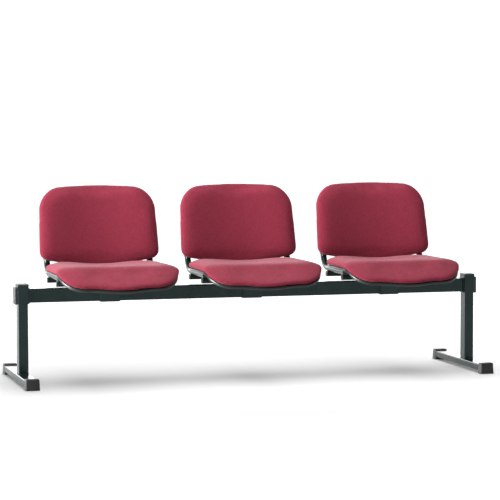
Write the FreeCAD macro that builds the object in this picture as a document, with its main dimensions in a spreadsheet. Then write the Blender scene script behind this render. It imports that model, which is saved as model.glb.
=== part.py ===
import FreeCAD, Part
import Sketcher
import math
import os

# Beam seating: three upholstered seats on one steel beam between two legs.
# X runs along the beam, Y from the front to the rear, Z up from the floor.
# The origin lies on the floor under the middle of the whole object.

doc = FreeCAD.newDocument("BeamSeating")
sheet = doc.addObject("Spreadsheet::Sheet", "Sizes")

# every driving size in millimetres, angles in degrees
sizeRows = [
    ("seatPitch", 566, "distance between the middles of two seats"),
    ("beamLength", 1852, "steel tube without its end caps"),
    ("beamHeight", 54, "height of the beam's section"),
    ("beamDepth", 32, "depth of the beam's section"),
    ("beamWall", 3, "wall of the beam"),
    ("beamBottom", 309, "underside of the beam over the floor"),
    ("beamY", -27, "middle of the beam in depth"),
    ("endCapThick", 9, "flange of the beam's end cap"),
    ("endCapProud", 5.5, "flange beyond the beam all round"),
    ("endCapSpigot", 16, "part of the end cap inside the beam"),
    ("legIn", 22.5, "middle of a leg inside the beam's end"),
    ("headWidth", 43, "sleeve on top of the upright, along X"),
    ("headWall", 2.5, "wall of the sleeve"),
    ("headUnder", 4, "sleeve below the beam"),
    ("headOver", 12, "sleeve above the beam"),
    ("headPlugThick", 6, "plug on top of the sleeve"),
    ("collarThick", 4, "lip round the beam on the sleeve's inner side"),
    ("uprightWidth", 37, "upright along X"),
    ("uprightDepth", 50, "upright along Y"),
    ("uprightWall", 2.5, "wall of the upright"),
    ("footWidth", 49, "foot tube along X"),
    ("footHeight", 25.5, "foot tube in height"),
    ("footWall", 2.5, "wall of the foot tube"),
    ("footBottom", 11, "underside of the foot tube over the floor"),
    ("footFront", 221, "front of the foot before the beam's middle"),
    ("footRear", 318, "rear of the foot behind the beam's middle"),
    ("footCapLength", 35, "cap along the foot"),
    ("footCapHeight", 43, "cap in height"),
    ("footCapBase", 57, "cap's width on the floor"),
    ("footCapDraft", 3.3, "lean of the cap's faces in degrees"),
    ("footCapCover", 5, "closed end of the cap in front of the tube"),
    ("saddleWidth", 76, "clamp along X"),
    ("saddleHeight", 10, "channel between beam and crossbars"),
    ("plateThick", 4, "sheet of the clamp"),
    ("flangeReach", 26, "flange of the strap beside the beam"),
    ("barHeight", 20, "crossbar in height"),
    ("barDepth", 22, "crossbar in depth"),
    ("barWall", 2, "wall of the crossbar"),
    ("barHalf", 217, "half length of a crossbar without plugs"),
    ("barFront", -86, "front face of the front crossbar from the beam's middle"),
    ("barRear", 109, "front face of the rear crossbar from the beam's middle"),
    ("tubeRound", 25, "outer diameter of a side tube"),
    ("tubeWall", 2, "wall of a side tube"),
    ("tubeX", 205.5, "middle of a side tube from the seat's middle"),
    ("tubeBend", 65, "middle-line radius of the bend"),
    ("tubeRise", 218, "straight part of the tube inside the back"),
    ("plugThick", 2, "flange of the small tube plugs"),
    ("seatHalf", 237.5, "half width of the seat"),
    ("seatFront", 262, "front of the seat before the beam's middle"),
    ("seatRear", 156, "rear of the seat behind the beam's middle"),
    ("seatOverTubes", 4, "underside of the cushion along its sides above the side tubes"),
    ("seatDipShort", 0.2, "how much less than a tube the cushion's underside dips between the tubes"),
    ("seatEdge", 29, "cushion's thickness at its edge"),
    ("seatSlope", 32, "fall of the waterfall front in degrees"),
    ("seatShellSkin", 2.5, "skin of the plastic pan"),
    ("boardThick", 9, "moulded plywood"),
    ("backLean", 13, "lean of the back in degrees"),
    ("backY", 191, "middle of the back at its foot from the beam's middle"),
    ("backAboveBars", 57, "that point above the crossbars"),
    ("backHalf", 237, "half width of the back near its foot"),
    ("backHalfTop", 231, "half width of the back near its top"),
    ("backTop", 299, "height of the back along its lean"),
    ("backBow", 24.6, "sides of the back forward of its middle"),
    ("backFrontOff", 22, "cushion before the middle surface of the back"),
    ("backRearOff", 13, "board's rear face behind the middle surface"),
    ("shellOverTubes", 4.4, "rear cover's outer face behind the side tubes"),
    ("fit", 0.3, "clearance between pieces that are set into each other"),
]
for index, (alias, amount, note) in enumerate(sizeRows):
    row = str(index + 1)
    sheet.set("A" + row, note)
    sheet.set("B" + row, str(amount))
    sheet.setAlias("B" + row, alias)
doc.recompute()


def size(alias):
    # value of one driving size
    return float(sheet.get(alias))


def amount(formula):
    # value of a formula of driving sizes, used as a first guess for the sketch
    found = sheet.evalExpression(str(formula))
    return float(getattr(found, "Value", found))


def newBody(label):
    body = doc.addObject("PartDesign::Body", label)
    body.Label = label
    return body


def originPlane(body, role):
    return [item for item in body.Origin.OriginFeatures if item.Role == role][0]


def newSketch(body, role, level="0"):
    # sketch parallel to one of the body's own planes, moved along the plane's normal
    sketch = body.newObject("Sketcher::SketchObject", body.Name + "Sketch")
    sketch.AttachmentSupport = [(originPlane(body, role), "")]
    sketch.MapMode = "FlatFace"
    sketch.setExpression("AttachmentOffset.Base.z", str(level))
    return sketch


def pin(sketch, edge, point, across, along):
    # both coordinates of a sketch point tied to formulas of driving sizes
    for kind, formula, axis in (("DistanceX", across, -2), ("DistanceY", along, -1)):
        guess = amount(formula)
        if abs(guess) < 1e-9:
            sketch.addConstraint(Sketcher.Constraint("PointOnObject", edge, point, axis))
        else:
            number = sketch.addConstraint(Sketcher.Constraint(kind, edge, point, guess))
            sketch.setExpression("Constraints[%d]" % number, str(formula))


def outline(sketch, corners):
    # closed outline of straight edges with every corner tied to driving sizes
    first = sketch.GeometryCount
    spots = [FreeCAD.Vector(amount(a), amount(b), 0) for a, b in corners]
    count = len(spots)
    for i in range(count):
        sketch.addGeometry(Part.LineSegment(spots[i], spots[(i + 1) % count]), False)
    for i in range(count):
        after = first + (i + 1) % count
        sketch.addConstraint(Sketcher.Constraint("Coincident", first + i, 2, after, 1))
    for i, (a, b) in enumerate(corners):
        pin(sketch, first + i, 1, a, b)


def block(sketch, left, right, low, high):
    outline(sketch, [(left, low), (right, low), (right, high), (left, high)])


def centred(sketch, width, height):
    half = "(%s) / 2" % width
    tall = "(%s) / 2" % height
    block(sketch, "-" + half, half, "-" + tall, tall)


def ring(sketch, across, along, diameter):
    # circle tied to driving sizes
    middle = FreeCAD.Vector(amount(across), amount(along), 0)
    edge = sketch.addGeometry(Part.Circle(middle, FreeCAD.Vector(0, 0, 1), amount(diameter) / 2), False)
    pin(sketch, edge, 3, across, along)
    number = sketch.addConstraint(Sketcher.Constraint("Diameter", edge, amount(diameter)))
    sketch.setExpression("Constraints[%d]" % number, str(diameter))


def pad(body, sketch, length, sides="One side"):
    feature = body.newObject("PartDesign::Pad", body.Name + "Pad")
    feature.Profile = sketch
    feature.SideType = sides
    feature.setExpression("Length", str(length))
    body.Tip = feature
    return feature


def pocket(body, sketch, length):
    # removes the sketched area equally far to both sides of its plane
    feature = body.newObject("PartDesign::Pocket", body.Name + "Pocket")
    feature.Profile = sketch
    feature.SideType = "Symmetric"
    feature.setExpression("Length", str(length))
    body.Tip = feature
    return feature


def rounded(body, radius, chosen):
    # rolls the chosen edges of the body's last feature
    doc.recompute()
    last = body.Tip
    names = []
    for number, edge in enumerate(last.Shape.Edges):
        if chosen(edge, last.Shape.BoundBox):
            names.append("Edge%d" % (number + 1))
    feature = body.newObject("PartDesign::Fillet", body.Name + "Round")
    feature.Base = (last, names)
    feature.Radius = radius
    body.Tip = feature
    return feature


def bevelled(body, width, chosen):
    # cuts the chosen edges of the body's last feature off at a slant
    doc.recompute()
    last = body.Tip
    names = []
    for number, edge in enumerate(last.Shape.Edges):
        if chosen(edge, last.Shape.BoundBox):
            names.append("Edge%d" % (number + 1))
    feature = body.newObject("PartDesign::Chamfer", body.Name + "Bevel")
    feature.Base = (last, names)
    feature.Size = width
    body.Tip = feature
    return feature


def runsAlong(edge, axis):
    ends = [vertex.Point for vertex in edge.Vertexes]
    if len(ends) < 2:
        return False
    way = ends[1] - ends[0]
    return abs(abs(way[axis]) - way.Length) < 1e-6


def outerLong(axis):
    # long edges on the outside corners of a straight section
    others = [i for i in range(3) if i != axis]

    def chosen(edge, box):
        if not runsAlong(edge, axis):
            return False
        spot = edge.Vertexes[0].Point
        low = [box.XMin, box.YMin, box.ZMin]
        high = [box.XMax, box.YMax, box.ZMax]
        return all(min(abs(spot[i] - low[i]), abs(spot[i] - high[i])) < 1e-6 for i in others)

    return chosen


def place(item, x, y, z, turn=0):
    # position tied to driving sizes, with a turn about the upright axis
    item.Placement = FreeCAD.Placement(FreeCAD.Vector(), FreeCAD.Rotation(FreeCAD.Vector(0, 0, 1), turn))
    for axis, formula in zip("xyz", (x, y, z)):
        item.setExpression("Placement.Base." + axis, str(formula))


beamMiddle = "Sizes.beamBottom + Sizes.beamHeight / 2"
beamTop = "Sizes.beamBottom + Sizes.beamHeight"
barLow = "%s + Sizes.saddleHeight" % beamTop
barTop = "%s + Sizes.barHeight" % barLow
nodes = []

# beam
beam = newBody("beam")
section = newSketch(beam, "YZ_Plane")
centred(section, "Sizes.beamDepth", "Sizes.beamHeight")
centred(section, "Sizes.beamDepth - 2 * Sizes.beamWall", "Sizes.beamHeight - 2 * Sizes.beamWall")
pad(beam, section, "Sizes.beamLength", "Symmetric")
rounded(beam, 3.5, outerLong(0))
place(beam, "0", "Sizes.beamY", beamMiddle)
nodes.append(beam)

# plastic caps in the ends of the beam
for name, sign, turn in (("beam_end_cap_left", "-", 180), ("beam_end_cap_right", "", 0)):
    cap = newBody(name)
    flange = newSketch(cap, "YZ_Plane")
    centred(flange, "Sizes.beamDepth + 2 * Sizes.endCapProud", "Sizes.beamHeight + 2 * Sizes.endCapProud")
    pad(cap, flange, "Sizes.endCapThick")
    bevelled(cap, 2, lambda edge, box: runsAlong(edge, 0) or edge.CenterOfMass.x > box.XMax - 1e-6)
    spigot = newSketch(cap, "YZ_Plane", "-Sizes.endCapSpigot")
    inner = "(2 * Sizes.beamWall + 2 * Sizes.fit)"
    centred(spigot, "Sizes.beamDepth - %s" % inner, "Sizes.beamHeight - %s" % inner)
    centred(spigot, "Sizes.beamDepth - %s - 6" % inner, "Sizes.beamHeight - %s - 6" % inner)
    pad(cap, spigot, "Sizes.endCapSpigot")
    place(cap, sign + "Sizes.beamLength / 2", "Sizes.beamY", beamMiddle, turn)
    nodes.append(cap)

# legs
headDepth = "(Sizes.uprightDepth + 2 * Sizes.headWall)"
headTall = "(Sizes.beamHeight + Sizes.headUnder + Sizes.headOver)"
footTop = "Sizes.footBottom + Sizes.footHeight"
for side, sign, turn in (("left", "-", 0), ("right", "", 180)):
    middle = sign + "(Sizes.beamLength / 2 - Sizes.legIn)"

    # upright between the foot and the underside of the beam
    upright = newBody("leg_upright_" + side)
    section = newSketch(upright, "XY_Plane")
    centred(section, "Sizes.uprightWidth", "Sizes.uprightDepth")
    centred(section, "Sizes.uprightWidth - 2 * Sizes.uprightWall", "Sizes.uprightDepth - 2 * Sizes.uprightWall")
    pad(upright, section, "Sizes.beamBottom - (%s)" % footTop)
    rounded(upright, 3, outerLong(2))
    place(upright, middle, "Sizes.beamY", footTop)
    nodes.append(upright)

    # sleeve that the beam runs through, with a lip on its inner side
    head = newBody("leg_head_" + side)
    section = newSketch(head, "XY_Plane", "-Sizes.beamHeight / 2 - Sizes.headUnder")
    centred(section, "Sizes.headWidth", headDepth)
    centred(section, "Sizes.headWidth - 2 * Sizes.headWall", headDepth + " - 2 * Sizes.headWall")
    pad(head, section, headTall)
    rounded(head, 3.5, outerLong(2))
    lip = newSketch(head, "YZ_Plane", "Sizes.headWidth / 2 - 1")
    centred(lip, "Sizes.beamDepth + 8", "Sizes.beamHeight + 6")
    pad(head, lip, "Sizes.collarThick + 1")
    window = newSketch(head, "YZ_Plane")
    centred(window, "Sizes.beamDepth + 2 * Sizes.fit", "Sizes.beamHeight + 2 * Sizes.fit")
    pocket(head, window, "Sizes.headWidth + 4 * Sizes.collarThick")
    place(head, middle, "Sizes.beamY", beamMiddle, turn)
    nodes.append(head)

    # plug on top of the sleeve
    plug = newBody("leg_head_plug_" + side)
    flange = newSketch(plug, "XY_Plane")
    centred(flange, "Sizes.headWidth", headDepth)
    pad(plug, flange, "Sizes.headPlugThick")
    bevelled(plug, 2, lambda edge, box: runsAlong(edge, 2) or edge.CenterOfMass.z > box.ZMax - 1e-6)
    spigot = newSketch(plug, "XY_Plane", "3 - Sizes.headOver")
    inner = "(2 * Sizes.headWall + 2 * Sizes.fit)"
    centred(spigot, "Sizes.headWidth - %s" % inner, headDepth + " - %s" % inner)
    centred(spigot, "Sizes.headWidth - %s - 5" % inner, headDepth + " - %s - 5" % inner)
    pad(plug, spigot, "Sizes.headOver - 3")
    place(plug, middle, "Sizes.beamY", beamTop + " + Sizes.headOver")
    nodes.append(plug)

    # foot tube along the depth of the object
    foot = newBody("foot_tube_" + side)
    section = newSketch(foot, "XZ_Plane")
    centred(section, "Sizes.footWidth", "Sizes.footHeight")
    centred(section, "Sizes.footWidth - 2 * Sizes.footWall", "Sizes.footHeight - 2 * Sizes.footWall")
    pad(foot, section, "Sizes.footFront + Sizes.footRear - 2 * Sizes.footCapCover", "Symmetric")
    rounded(foot, 4, outerLong(1))
    footMiddle = "Sizes.beamY + (Sizes.footRear - Sizes.footFront) / 2"
    place(foot, middle, footMiddle, "Sizes.footBottom + Sizes.footHeight / 2")
    nodes.append(foot)

    # plastic boots that carry the foot on the floor
    for end, ahead, facing in (("front", "-Sizes.footFront", 0), ("rear", "Sizes.footRear", 180)):
        boot = newBody("foot_cap_%s_%s" % (end, side))
        base = newSketch(boot, "XY_Plane")
        block(base, "-Sizes.footCapBase / 2", "Sizes.footCapBase / 2", "0", "Sizes.footCapLength")
        wedge = pad(boot, base, "Sizes.footCapHeight")
        wedge.setExpression("TaperAngle", "-Sizes.footCapDraft * 1 deg")
        bevelled(boot, 3, lambda edge, box: edge.CenterOfMass.y < 3 and edge.CenterOfMass.z > 1)
        cavity = newSketch(boot, "XZ_Plane", "-Sizes.footCapCover - 30")
        tall = "Sizes.footBottom + Sizes.footHeight"
        wide = "Sizes.footWidth / 2"
        block(cavity, "-" + wide, wide, "Sizes.footBottom", tall)
        pocket(boot, cavity, "60")
        place(boot, middle, "Sizes.beamY + " + ahead, "0", facing)
        nodes.append(boot)


def group(label, solids, placements):
    # identical fasteners as separate solids in one node
    item = doc.addObject("Part::Feature", label)
    item.Label = label
    copies = []
    for spot in placements:
        for solid in solids:
            copy = solid.copy()
            copy.Placement = spot.multiply(solid.Placement)
            copies.append(copy)
    item.Shape = Part.makeCompound(copies)
    nodes.append(item)
    return item


beamY = size("beamY")
beamMid = size("beamBottom") + size("beamHeight") / 2
barBase = size("beamBottom") + size("beamHeight") + size("saddleHeight")
barUpper = barBase + size("barHeight")
seatSide = barUpper + size("tubeRound") + size("seatOverTubes")
headHalf = size("uprightDepth") / 2 + size("headWall")

def ease(t):
    # smooth step from 0 to 1
    t = min(max(t, 0.0), 1.0)
    return t * t * (3 - 2 * t)


# form of the seat: plan outline and the levels of its surfaces
seatHalf = size("seatHalf")
frontCorner = 100.0
rearCorner = 115.0
frontBow = 12.0
knee = size("seatFront") - frontBow - frontCorner
kneeRadius = 60.0
slope = math.radians(size("seatSlope"))


def seatEnds(x, inset):
    # front and rear of the seat's plan outline at a distance x from its middle
    x = abs(x)
    front = -knee - frontCorner
    reach = seatHalf - frontCorner
    if x > reach:
        radius = frontCorner - inset
        front = -knee - math.sqrt(max(radius ** 2 - (x - reach) ** 2, 0))
    else:
        front = front + inset - frontBow * (1 - ease(x / reach))
    rear = size("seatRear") - rearCorner
    reach = seatHalf - rearCorner
    radius = rearCorner - inset
    if x > reach:
        rear = rear + math.sqrt(max(radius ** 2 - (x - reach) ** 2, 0))
    else:
        rear = rear + radius
    return front, rear


def fall(y):
    # waterfall: level, then an arc, then a straight slope
    run = -knee - y
    turn = kneeRadius * math.sin(slope)
    if run <= 0:
        return 0.0
    if run < turn:
        return kneeRadius - math.sqrt(kneeRadius ** 2 - run ** 2)
    return kneeRadius * (1 - math.cos(slope)) + (run - turn) * math.tan(slope)


def seatLow(x, y):
    # underside of the seat cushion, dipping between the side tubes
    dip = (1 - ease((abs(x) - 100) / 90)) * ease((y + 195) / 100)
    return seatSide - (size("tubeRound") - size("seatDipShort")) * dip - fall(y)


def seatHigh(x, y):
    # top of the seat cushion, hollowed towards the rear
    hollow = 4 + 13 * ease((y + 150) / 250)
    across = 1 - ease(abs(x) / seatHalf)
    return seatSide + size("seatEdge") - hollow * across - fall(y)


def stroke(points):
    # line or arc through three points
    a, b, c = points
    if (b - (a + c) * 0.5).Length < 0.02:
        return Part.LineSegment(a, c).toShape()
    return Part.Arc(a, b, c).toShape()


def closedSection(x, start, end, low, high, nose, parts, frame):
    # closed section across the seat or the back: two long sides and two rounded or straight ends
    def at(u, w):
        return frame(x, u, w)

    def side(level, first, last):
        edges = []
        for i in range(len(parts) - 1):
            a = first + (last - first) * parts[i]
            c = first + (last - first) * parts[i + 1]
            b = (a + c) / 2
            edges.append(stroke([at(u, level(x, u)) for u in (a, b, c)]))
        return edges

    def cap(tip, inner):
        lower = low(x, inner)
        upper = high(x, inner)
        if nose == 0:
            return [Part.LineSegment(at(inner, lower), at(inner, upper)).toShape()]
        middle = (lower + upper) / 2
        half = (upper - lower) / 2
        reach = (tip - inner) * math.sin(math.pi / 4)
        drop = half * math.cos(math.pi / 4)
        return [
            stroke([at(inner, lower), at(inner + reach, middle - drop), at(tip, middle)]),
            stroke([at(tip, middle), at(inner + reach, middle + drop), at(inner, upper)]),
        ]

    inStart = start + min(nose, 0.3 * (end - start))
    inEnd = end - min(nose, 0.3 * (end - start))
    edges = side(low, inStart, inEnd)
    edges += cap(end, inEnd)
    edges += side(high, inStart, inEnd)
    edges += cap(start, inStart)
    return Part.Wire(Part.__sortEdges__(edges))


def slab(stations, ends, low, high, nose, parts, frame, straight=False):
    # solid lofted through closed sections from one side to the other
    wires = []
    for x in stations:
        start, end = ends(x)
        wires.append(closedSection(x, start, end, low, high, nose, parts, frame))
    return Part.makeLoft(wires, True, straight, False, 3)


def mirrored(half):
    return [-x for x in half] + [0.0] + list(reversed(half))


def seatStations(inset):
    radius = frontCorner - inset
    reach = seatHalf - frontCorner
    half = [reach + radius * math.cos(math.radians(turn)) for turn in (0, 12, 28, 50)]
    return mirrored(half + [165.0, 125.0, 70.0])


def upFrame(x, u, w):
    return FreeCAD.Vector(x, u, w)


seatParts = [0, 0.16, 0.32, 1]


def seatSlab(low, high, inset, nose=0):
    return slab(seatStations(inset), lambda x: seatEnds(x, inset), low, high, nose, seatParts, upFrame, True)


def thinned(x, half, depth):
    # how far the upper and lower surfaces close in near the sides
    gap = max(half - abs(x), 0)
    reach = 2.2 * depth
    if gap >= reach:
        return 0.0
    return depth * (1 - math.sqrt(1 - (1 - gap / reach) ** 2))


def cushionLow(x, y):
    return seatLow(x, y) + thinned(x, seatHalf, 8)


def cushionHigh(x, y):
    return seatHigh(x, y) - thinned(x, seatHalf, 11)


def lip(y):
    # depth of the pan's rim under the cushion, deeper along the front
    return 8.5 + 4 * ease((-100 - y) / 120)


def seatPrism(inset):
    # plan outline of the seat drawn up through its whole height
    def spot(x, end):
        return FreeCAD.Vector(x, seatEnds(x, inset)[end], 250)

    reach = seatHalf - frontCorner
    behind = seatHalf - rearCorner
    wide = seatHalf - inset
    edges = []
    for i in range(-2, 2):
        trio = [spot(reach / 2 * (i + t), 0) for t in (0, 0.5, 1)]
        edges.append(stroke(trio))
    for sign in (-1, 1):
        turned = sign * (reach + (frontCorner - inset) * math.sin(math.pi / 4))
        corner = FreeCAD.Vector(sign * wide, -knee, 250)
        edges.append(stroke([spot(sign * reach, 0), spot(turned, 0), corner]))
        heel = FreeCAD.Vector(sign * wide, size("seatRear") - rearCorner, 250)
        edges.append(Part.LineSegment(corner, heel).toShape())
        turned = sign * (behind + (rearCorner - inset) * math.sin(math.pi / 4))
        edges.append(stroke([heel, spot(turned, 1), spot(sign * behind, 1)]))
    edges.append(Part.LineSegment(spot(-behind, 1), spot(behind, 1)).toShape())
    face = Part.Face(Part.Wire(Part.__sortEdges__(edges)))
    return face.extrude(FreeCAD.Vector(0, 0, 300))


def seatLayer(low, high, inset):
    # curved layer of constant plan outline, lofted across the seat and trimmed to the outline
    parts = [(y + 275) / 445 for y in (-275, -182, -166, -150, -122, -95, 170)]
    stations = mirrored([245.0, 198.0, 180.0, 162.0, 144.0, 126.0, 108.0, 90.0, 45.0])
    whole = slab(stations, lambda x: (-275.0, 170.0), low, high, 0, parts, upFrame)
    return whole.common(seatPrism(inset))


skin = size("seatShellSkin")
fit = size("fit")
board = size("boardThick")
under = 1.0
seatCushion = seatSlab(cushionLow, cushionHigh, 0, 9)
seatBoard = seatLayer(seatLow, lambda x, y: seatLow(x, y) + board, 10)
boardRoom = seatLayer(lambda x, y: seatLow(x, y) - 15, lambda x, y: seatLow(x, y) + board + fit, 10 - fit)
seatCushion = seatCushion.cut(boardRoom)
seatCushion = seatCushion.cut(seatLayer(lambda x, y: seatLow(x, y) - 60, lambda x, y: seatLow(x, y) - 0.5, -7))
panOuter = seatLayer(lambda x, y: seatLow(x, y) - under - lip(y), lambda x, y: seatLow(x, y) - under, 2)
panInner = seatLayer(lambda x, y: seatLow(x, y) - 60, lambda x, y: seatLow(x, y) - under - skin, 5.5)
seatShell = panOuter.cut(panInner)

# form of the back, in a frame that leans with it: u up the lean, w towards the rear
lean = math.radians(size("backLean"))
backHalf = size("backHalf")
backHalfTop = size("backHalfTop")


def backEnds(x, inset):
    # lower and upper edge of the back's outline at a distance x from its middle
    x = abs(x)
    wide = backHalf - inset
    wideTop = backHalfTop - inset
    low = 4.6 - 25.3 * (1 - (x / backHalf) ** 2) + inset
    corner = 38.0 - inset
    if x > wide - corner:
        low = low + corner - math.sqrt(max(corner ** 2 - (x - wide + corner) ** 2, 0))
    across = 77.0 - inset
    tall = 92.0 - inset
    if x <= wideTop:
        high = size("backTop") - 11.9 * (x / backHalfTop) ** 2 - inset
        if x > wideTop - across:
            high = high - tall * (1 - math.sqrt(max(1 - ((x - wideTop + across) / across) ** 2, 0)))
    else:
        high = size("backTop") - 11.9 - 92.0 - 135.0 * (x - wideTop) / (wide - wideTop)
    return low, high


bowRadius = (237.5 ** 2 + size("backBow") ** 2) / (2 * size("backBow"))


def bow(x):
    # the back curves round the sitter along an arc
    return math.sqrt(bowRadius ** 2 - x ** 2) - bowRadius


def backPrism(inset):
    # outline of the back seen from the front, drawn out through its whole depth
    wide = backHalf - inset
    wideTop = backHalfTop - inset
    foot = wide - (38.0 - inset)
    shoulder = wideTop - (77.0 - inset)
    turnX = wideTop - (77.0 - inset) * (1 - math.cos(math.pi / 4))
    sideLow = backEnds(foot, inset)[0] + 38.0 - inset
    sideHigh = backEnds(wideTop, inset)[1]

    def spot(x, u):
        return FreeCAD.Vector(x, -80, u)

    def low(x):
        return spot(x, backEnds(x, inset)[0])

    def high(x):
        return spot(x, backEnds(x, inset)[1])

    edges = [Part.Arc(low(-foot), low(0), low(foot)).toShape()]
    edges.append(Part.Arc(high(shoulder), high(0), high(-shoulder)).toShape())
    for sign in (-1, 1):
        heel = sign * (foot + (38.0 - inset) * math.sin(math.pi / 4))
        edges.append(Part.Arc(low(sign * foot), low(heel), spot(sign * wide, sideLow)).toShape())
        edges.append(Part.LineSegment(spot(sign * wide, sideLow), spot(sign * wideTop, sideHigh)).toShape())
        edges.append(Part.Arc(spot(sign * wideTop, sideHigh), high(sign * turnX), high(sign * shoulder)).toShape())
    face = Part.Face(Part.Wire(Part.__sortEdges__(edges)))
    return face.extrude(FreeCAD.Vector(0, 160, 0))


def backBand(front, rear):
    # bowed layer of the back, lofted through three closed sections of two arcs and two lines
    wires = []
    for u in (-60.0, 140.0, 340.0):
        def spot(x, w):
            return FreeCAD.Vector(x, w(x, u), u)

        edges = [
            Part.Arc(spot(-250, front), spot(0, front), spot(250, front)).toShape(),
            Part.LineSegment(spot(250, front), spot(250, rear)).toShape(),
            Part.Arc(spot(250, rear), spot(0, rear), spot(-250, rear)).toShape(),
            Part.LineSegment(spot(-250, rear), spot(-250, front)).toShape(),
        ]
        wires.append(Part.Wire(edges))
    return Part.makeLoft(wires, True, False, False, 3)


def backLayer(front, rear, inset):
    return backBand(front, rear).common(backPrism(inset))


def leanFrame(x, u, w):
    return FreeCAD.Vector(x, w, u)


def backStations():
    across = 77.0
    half = [backHalf, backHalf - 2, backHalfTop - 0.5]
    half += [backHalfTop - across + across * math.cos(math.radians(turn)) for turn in (16, 28, 42, 60, 90)]
    return mirrored(half + [80.0])


def backFront(x, u):
    # front of the back cushion, crowned in both directions and drawn in at the sides
    crown = 6 * (1 - (x / 250) ** 2) * (1 - ((u - 140) / 200) ** 2)
    return bow(x) - size("backFrontOff") + 4 - crown + thinned(x, backHalf, 11)


def backRear(x, u):
    return bow(x) + size("backRearOff") - fit - thinned(x, backHalf, 6)


def offset(distance):
    return lambda x, u: bow(x) + distance


rearOff = size("backRearOff")
shellOff = rearOff + size("tubeRound") + size("shellOverTubes")
backBoard = backLayer(offset(rearOff - board), offset(rearOff), 10)
backRoom = backLayer(offset(rearOff - board - fit), offset(rearOff + 15), 10 - fit)
backParts = [0, 0.5, 1]
backCushion = slab(backStations(), lambda x: backEnds(x, 0), backFront, backRear, 9, backParts, leanFrame, True)
backCushion = backCushion.cut(backRoom)
coverOuter = backLayer(offset(rearOff + fit), offset(shellOff), 1.5)
coverInner = backLayer(offset(rearOff - 8), offset(shellOff - 3), 4.5)
backShell = coverOuter.cut(coverInner)

# middle line of a side tube in the frame of one seat: level run, bend, then up with the lean
tubeRadius = size("tubeRound") / 2
tubeLevel = barUpper + tubeRadius
faceTilt = math.asin(size("tubeX") / bowRadius)
tubeOff = bow(size("tubeX")) + rearOff + (tubeRadius + 0.2) / math.cos(faceTilt)
bend = size("tubeBend")
turned = math.pi / 2 - lean
lineY = size("backY") + tubeOff * math.cos(lean)
lineZ = barUpper + size("backAboveBars") - tubeOff * math.sin(lean)
bendEndZ = tubeLevel + bend * (1 - math.cos(turned))
bendEndY = lineY + (bendEndZ - lineZ) * math.tan(lean)
bendStartY = bendEndY - bend * math.sin(turned)
tubeFront = size("barFront")
sheetRow = len(sizeRows) + 1
for alias, found in (("tubeRun", bendStartY - tubeFront), ("tubeStart", tubeFront)):
    sheet.set("B%d" % sheetRow, "%.4f" % found)
    sheet.setAlias("B%d" % sheetRow, alias)
    sheetRow += 1
doc.recompute()


def tubeSpine(x):
    # the same middle line as one wire, for cutting room for the tube
    start = FreeCAD.Vector(x, tubeFront, tubeLevel)
    first = FreeCAD.Vector(x, bendStartY, tubeLevel)
    half = turned / 2
    way = FreeCAD.Vector(x, bendStartY + bend * math.sin(half), tubeLevel + bend * (1 - math.cos(half)))
    last = FreeCAD.Vector(x, bendEndY, bendEndZ)
    rise = size("tubeRise")
    end = last + FreeCAD.Vector(0, rise * math.sin(lean), rise * math.cos(lean))
    edges = [Part.LineSegment(start, first).toShape()]
    edges.append(Part.Arc(first, way, last).toShape())
    edges.append(Part.LineSegment(last, end).toShape())
    return Part.Wire(edges)


def tubeRoom(x, clearance):
    spine = tubeSpine(x)
    circle = Part.makeCircle(tubeRadius + clearance, FreeCAD.Vector(x, tubeFront, tubeLevel), FreeCAD.Vector(0, 1, 0))
    return spine.makePipeShell([Part.Wire([circle])], True, False)


leanPlace = FreeCAD.Placement(
    FreeCAD.Vector(0, size("backY"), barUpper + size("backAboveBars")),
    FreeCAD.Rotation(FreeCAD.Vector(1, 0, 0), -size("backLean")),
)
rooms = [tubeRoom(side * size("tubeX"), 0.7) for side in (-1, 1)]
for room in rooms:
    seatShell = seatShell.cut(room)
    leaned = room.copy()
    leaned.Placement = leanPlace.inverse()
    backShell = backShell.cut(leaned)

barMiddles = [size("barFront") + size("barDepth") / 2, size("barRear") + size("barDepth") / 2]


def shaped(label, form, spot, leaning=False):
    item = doc.addObject("Part::Feature", label)
    item.Label = label
    item.Shape = form
    base = FreeCAD.Placement(spot, FreeCAD.Rotation())
    item.Placement = base.multiply(leanPlace) if leaning else base
    nodes.append(item)
    return item


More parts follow.
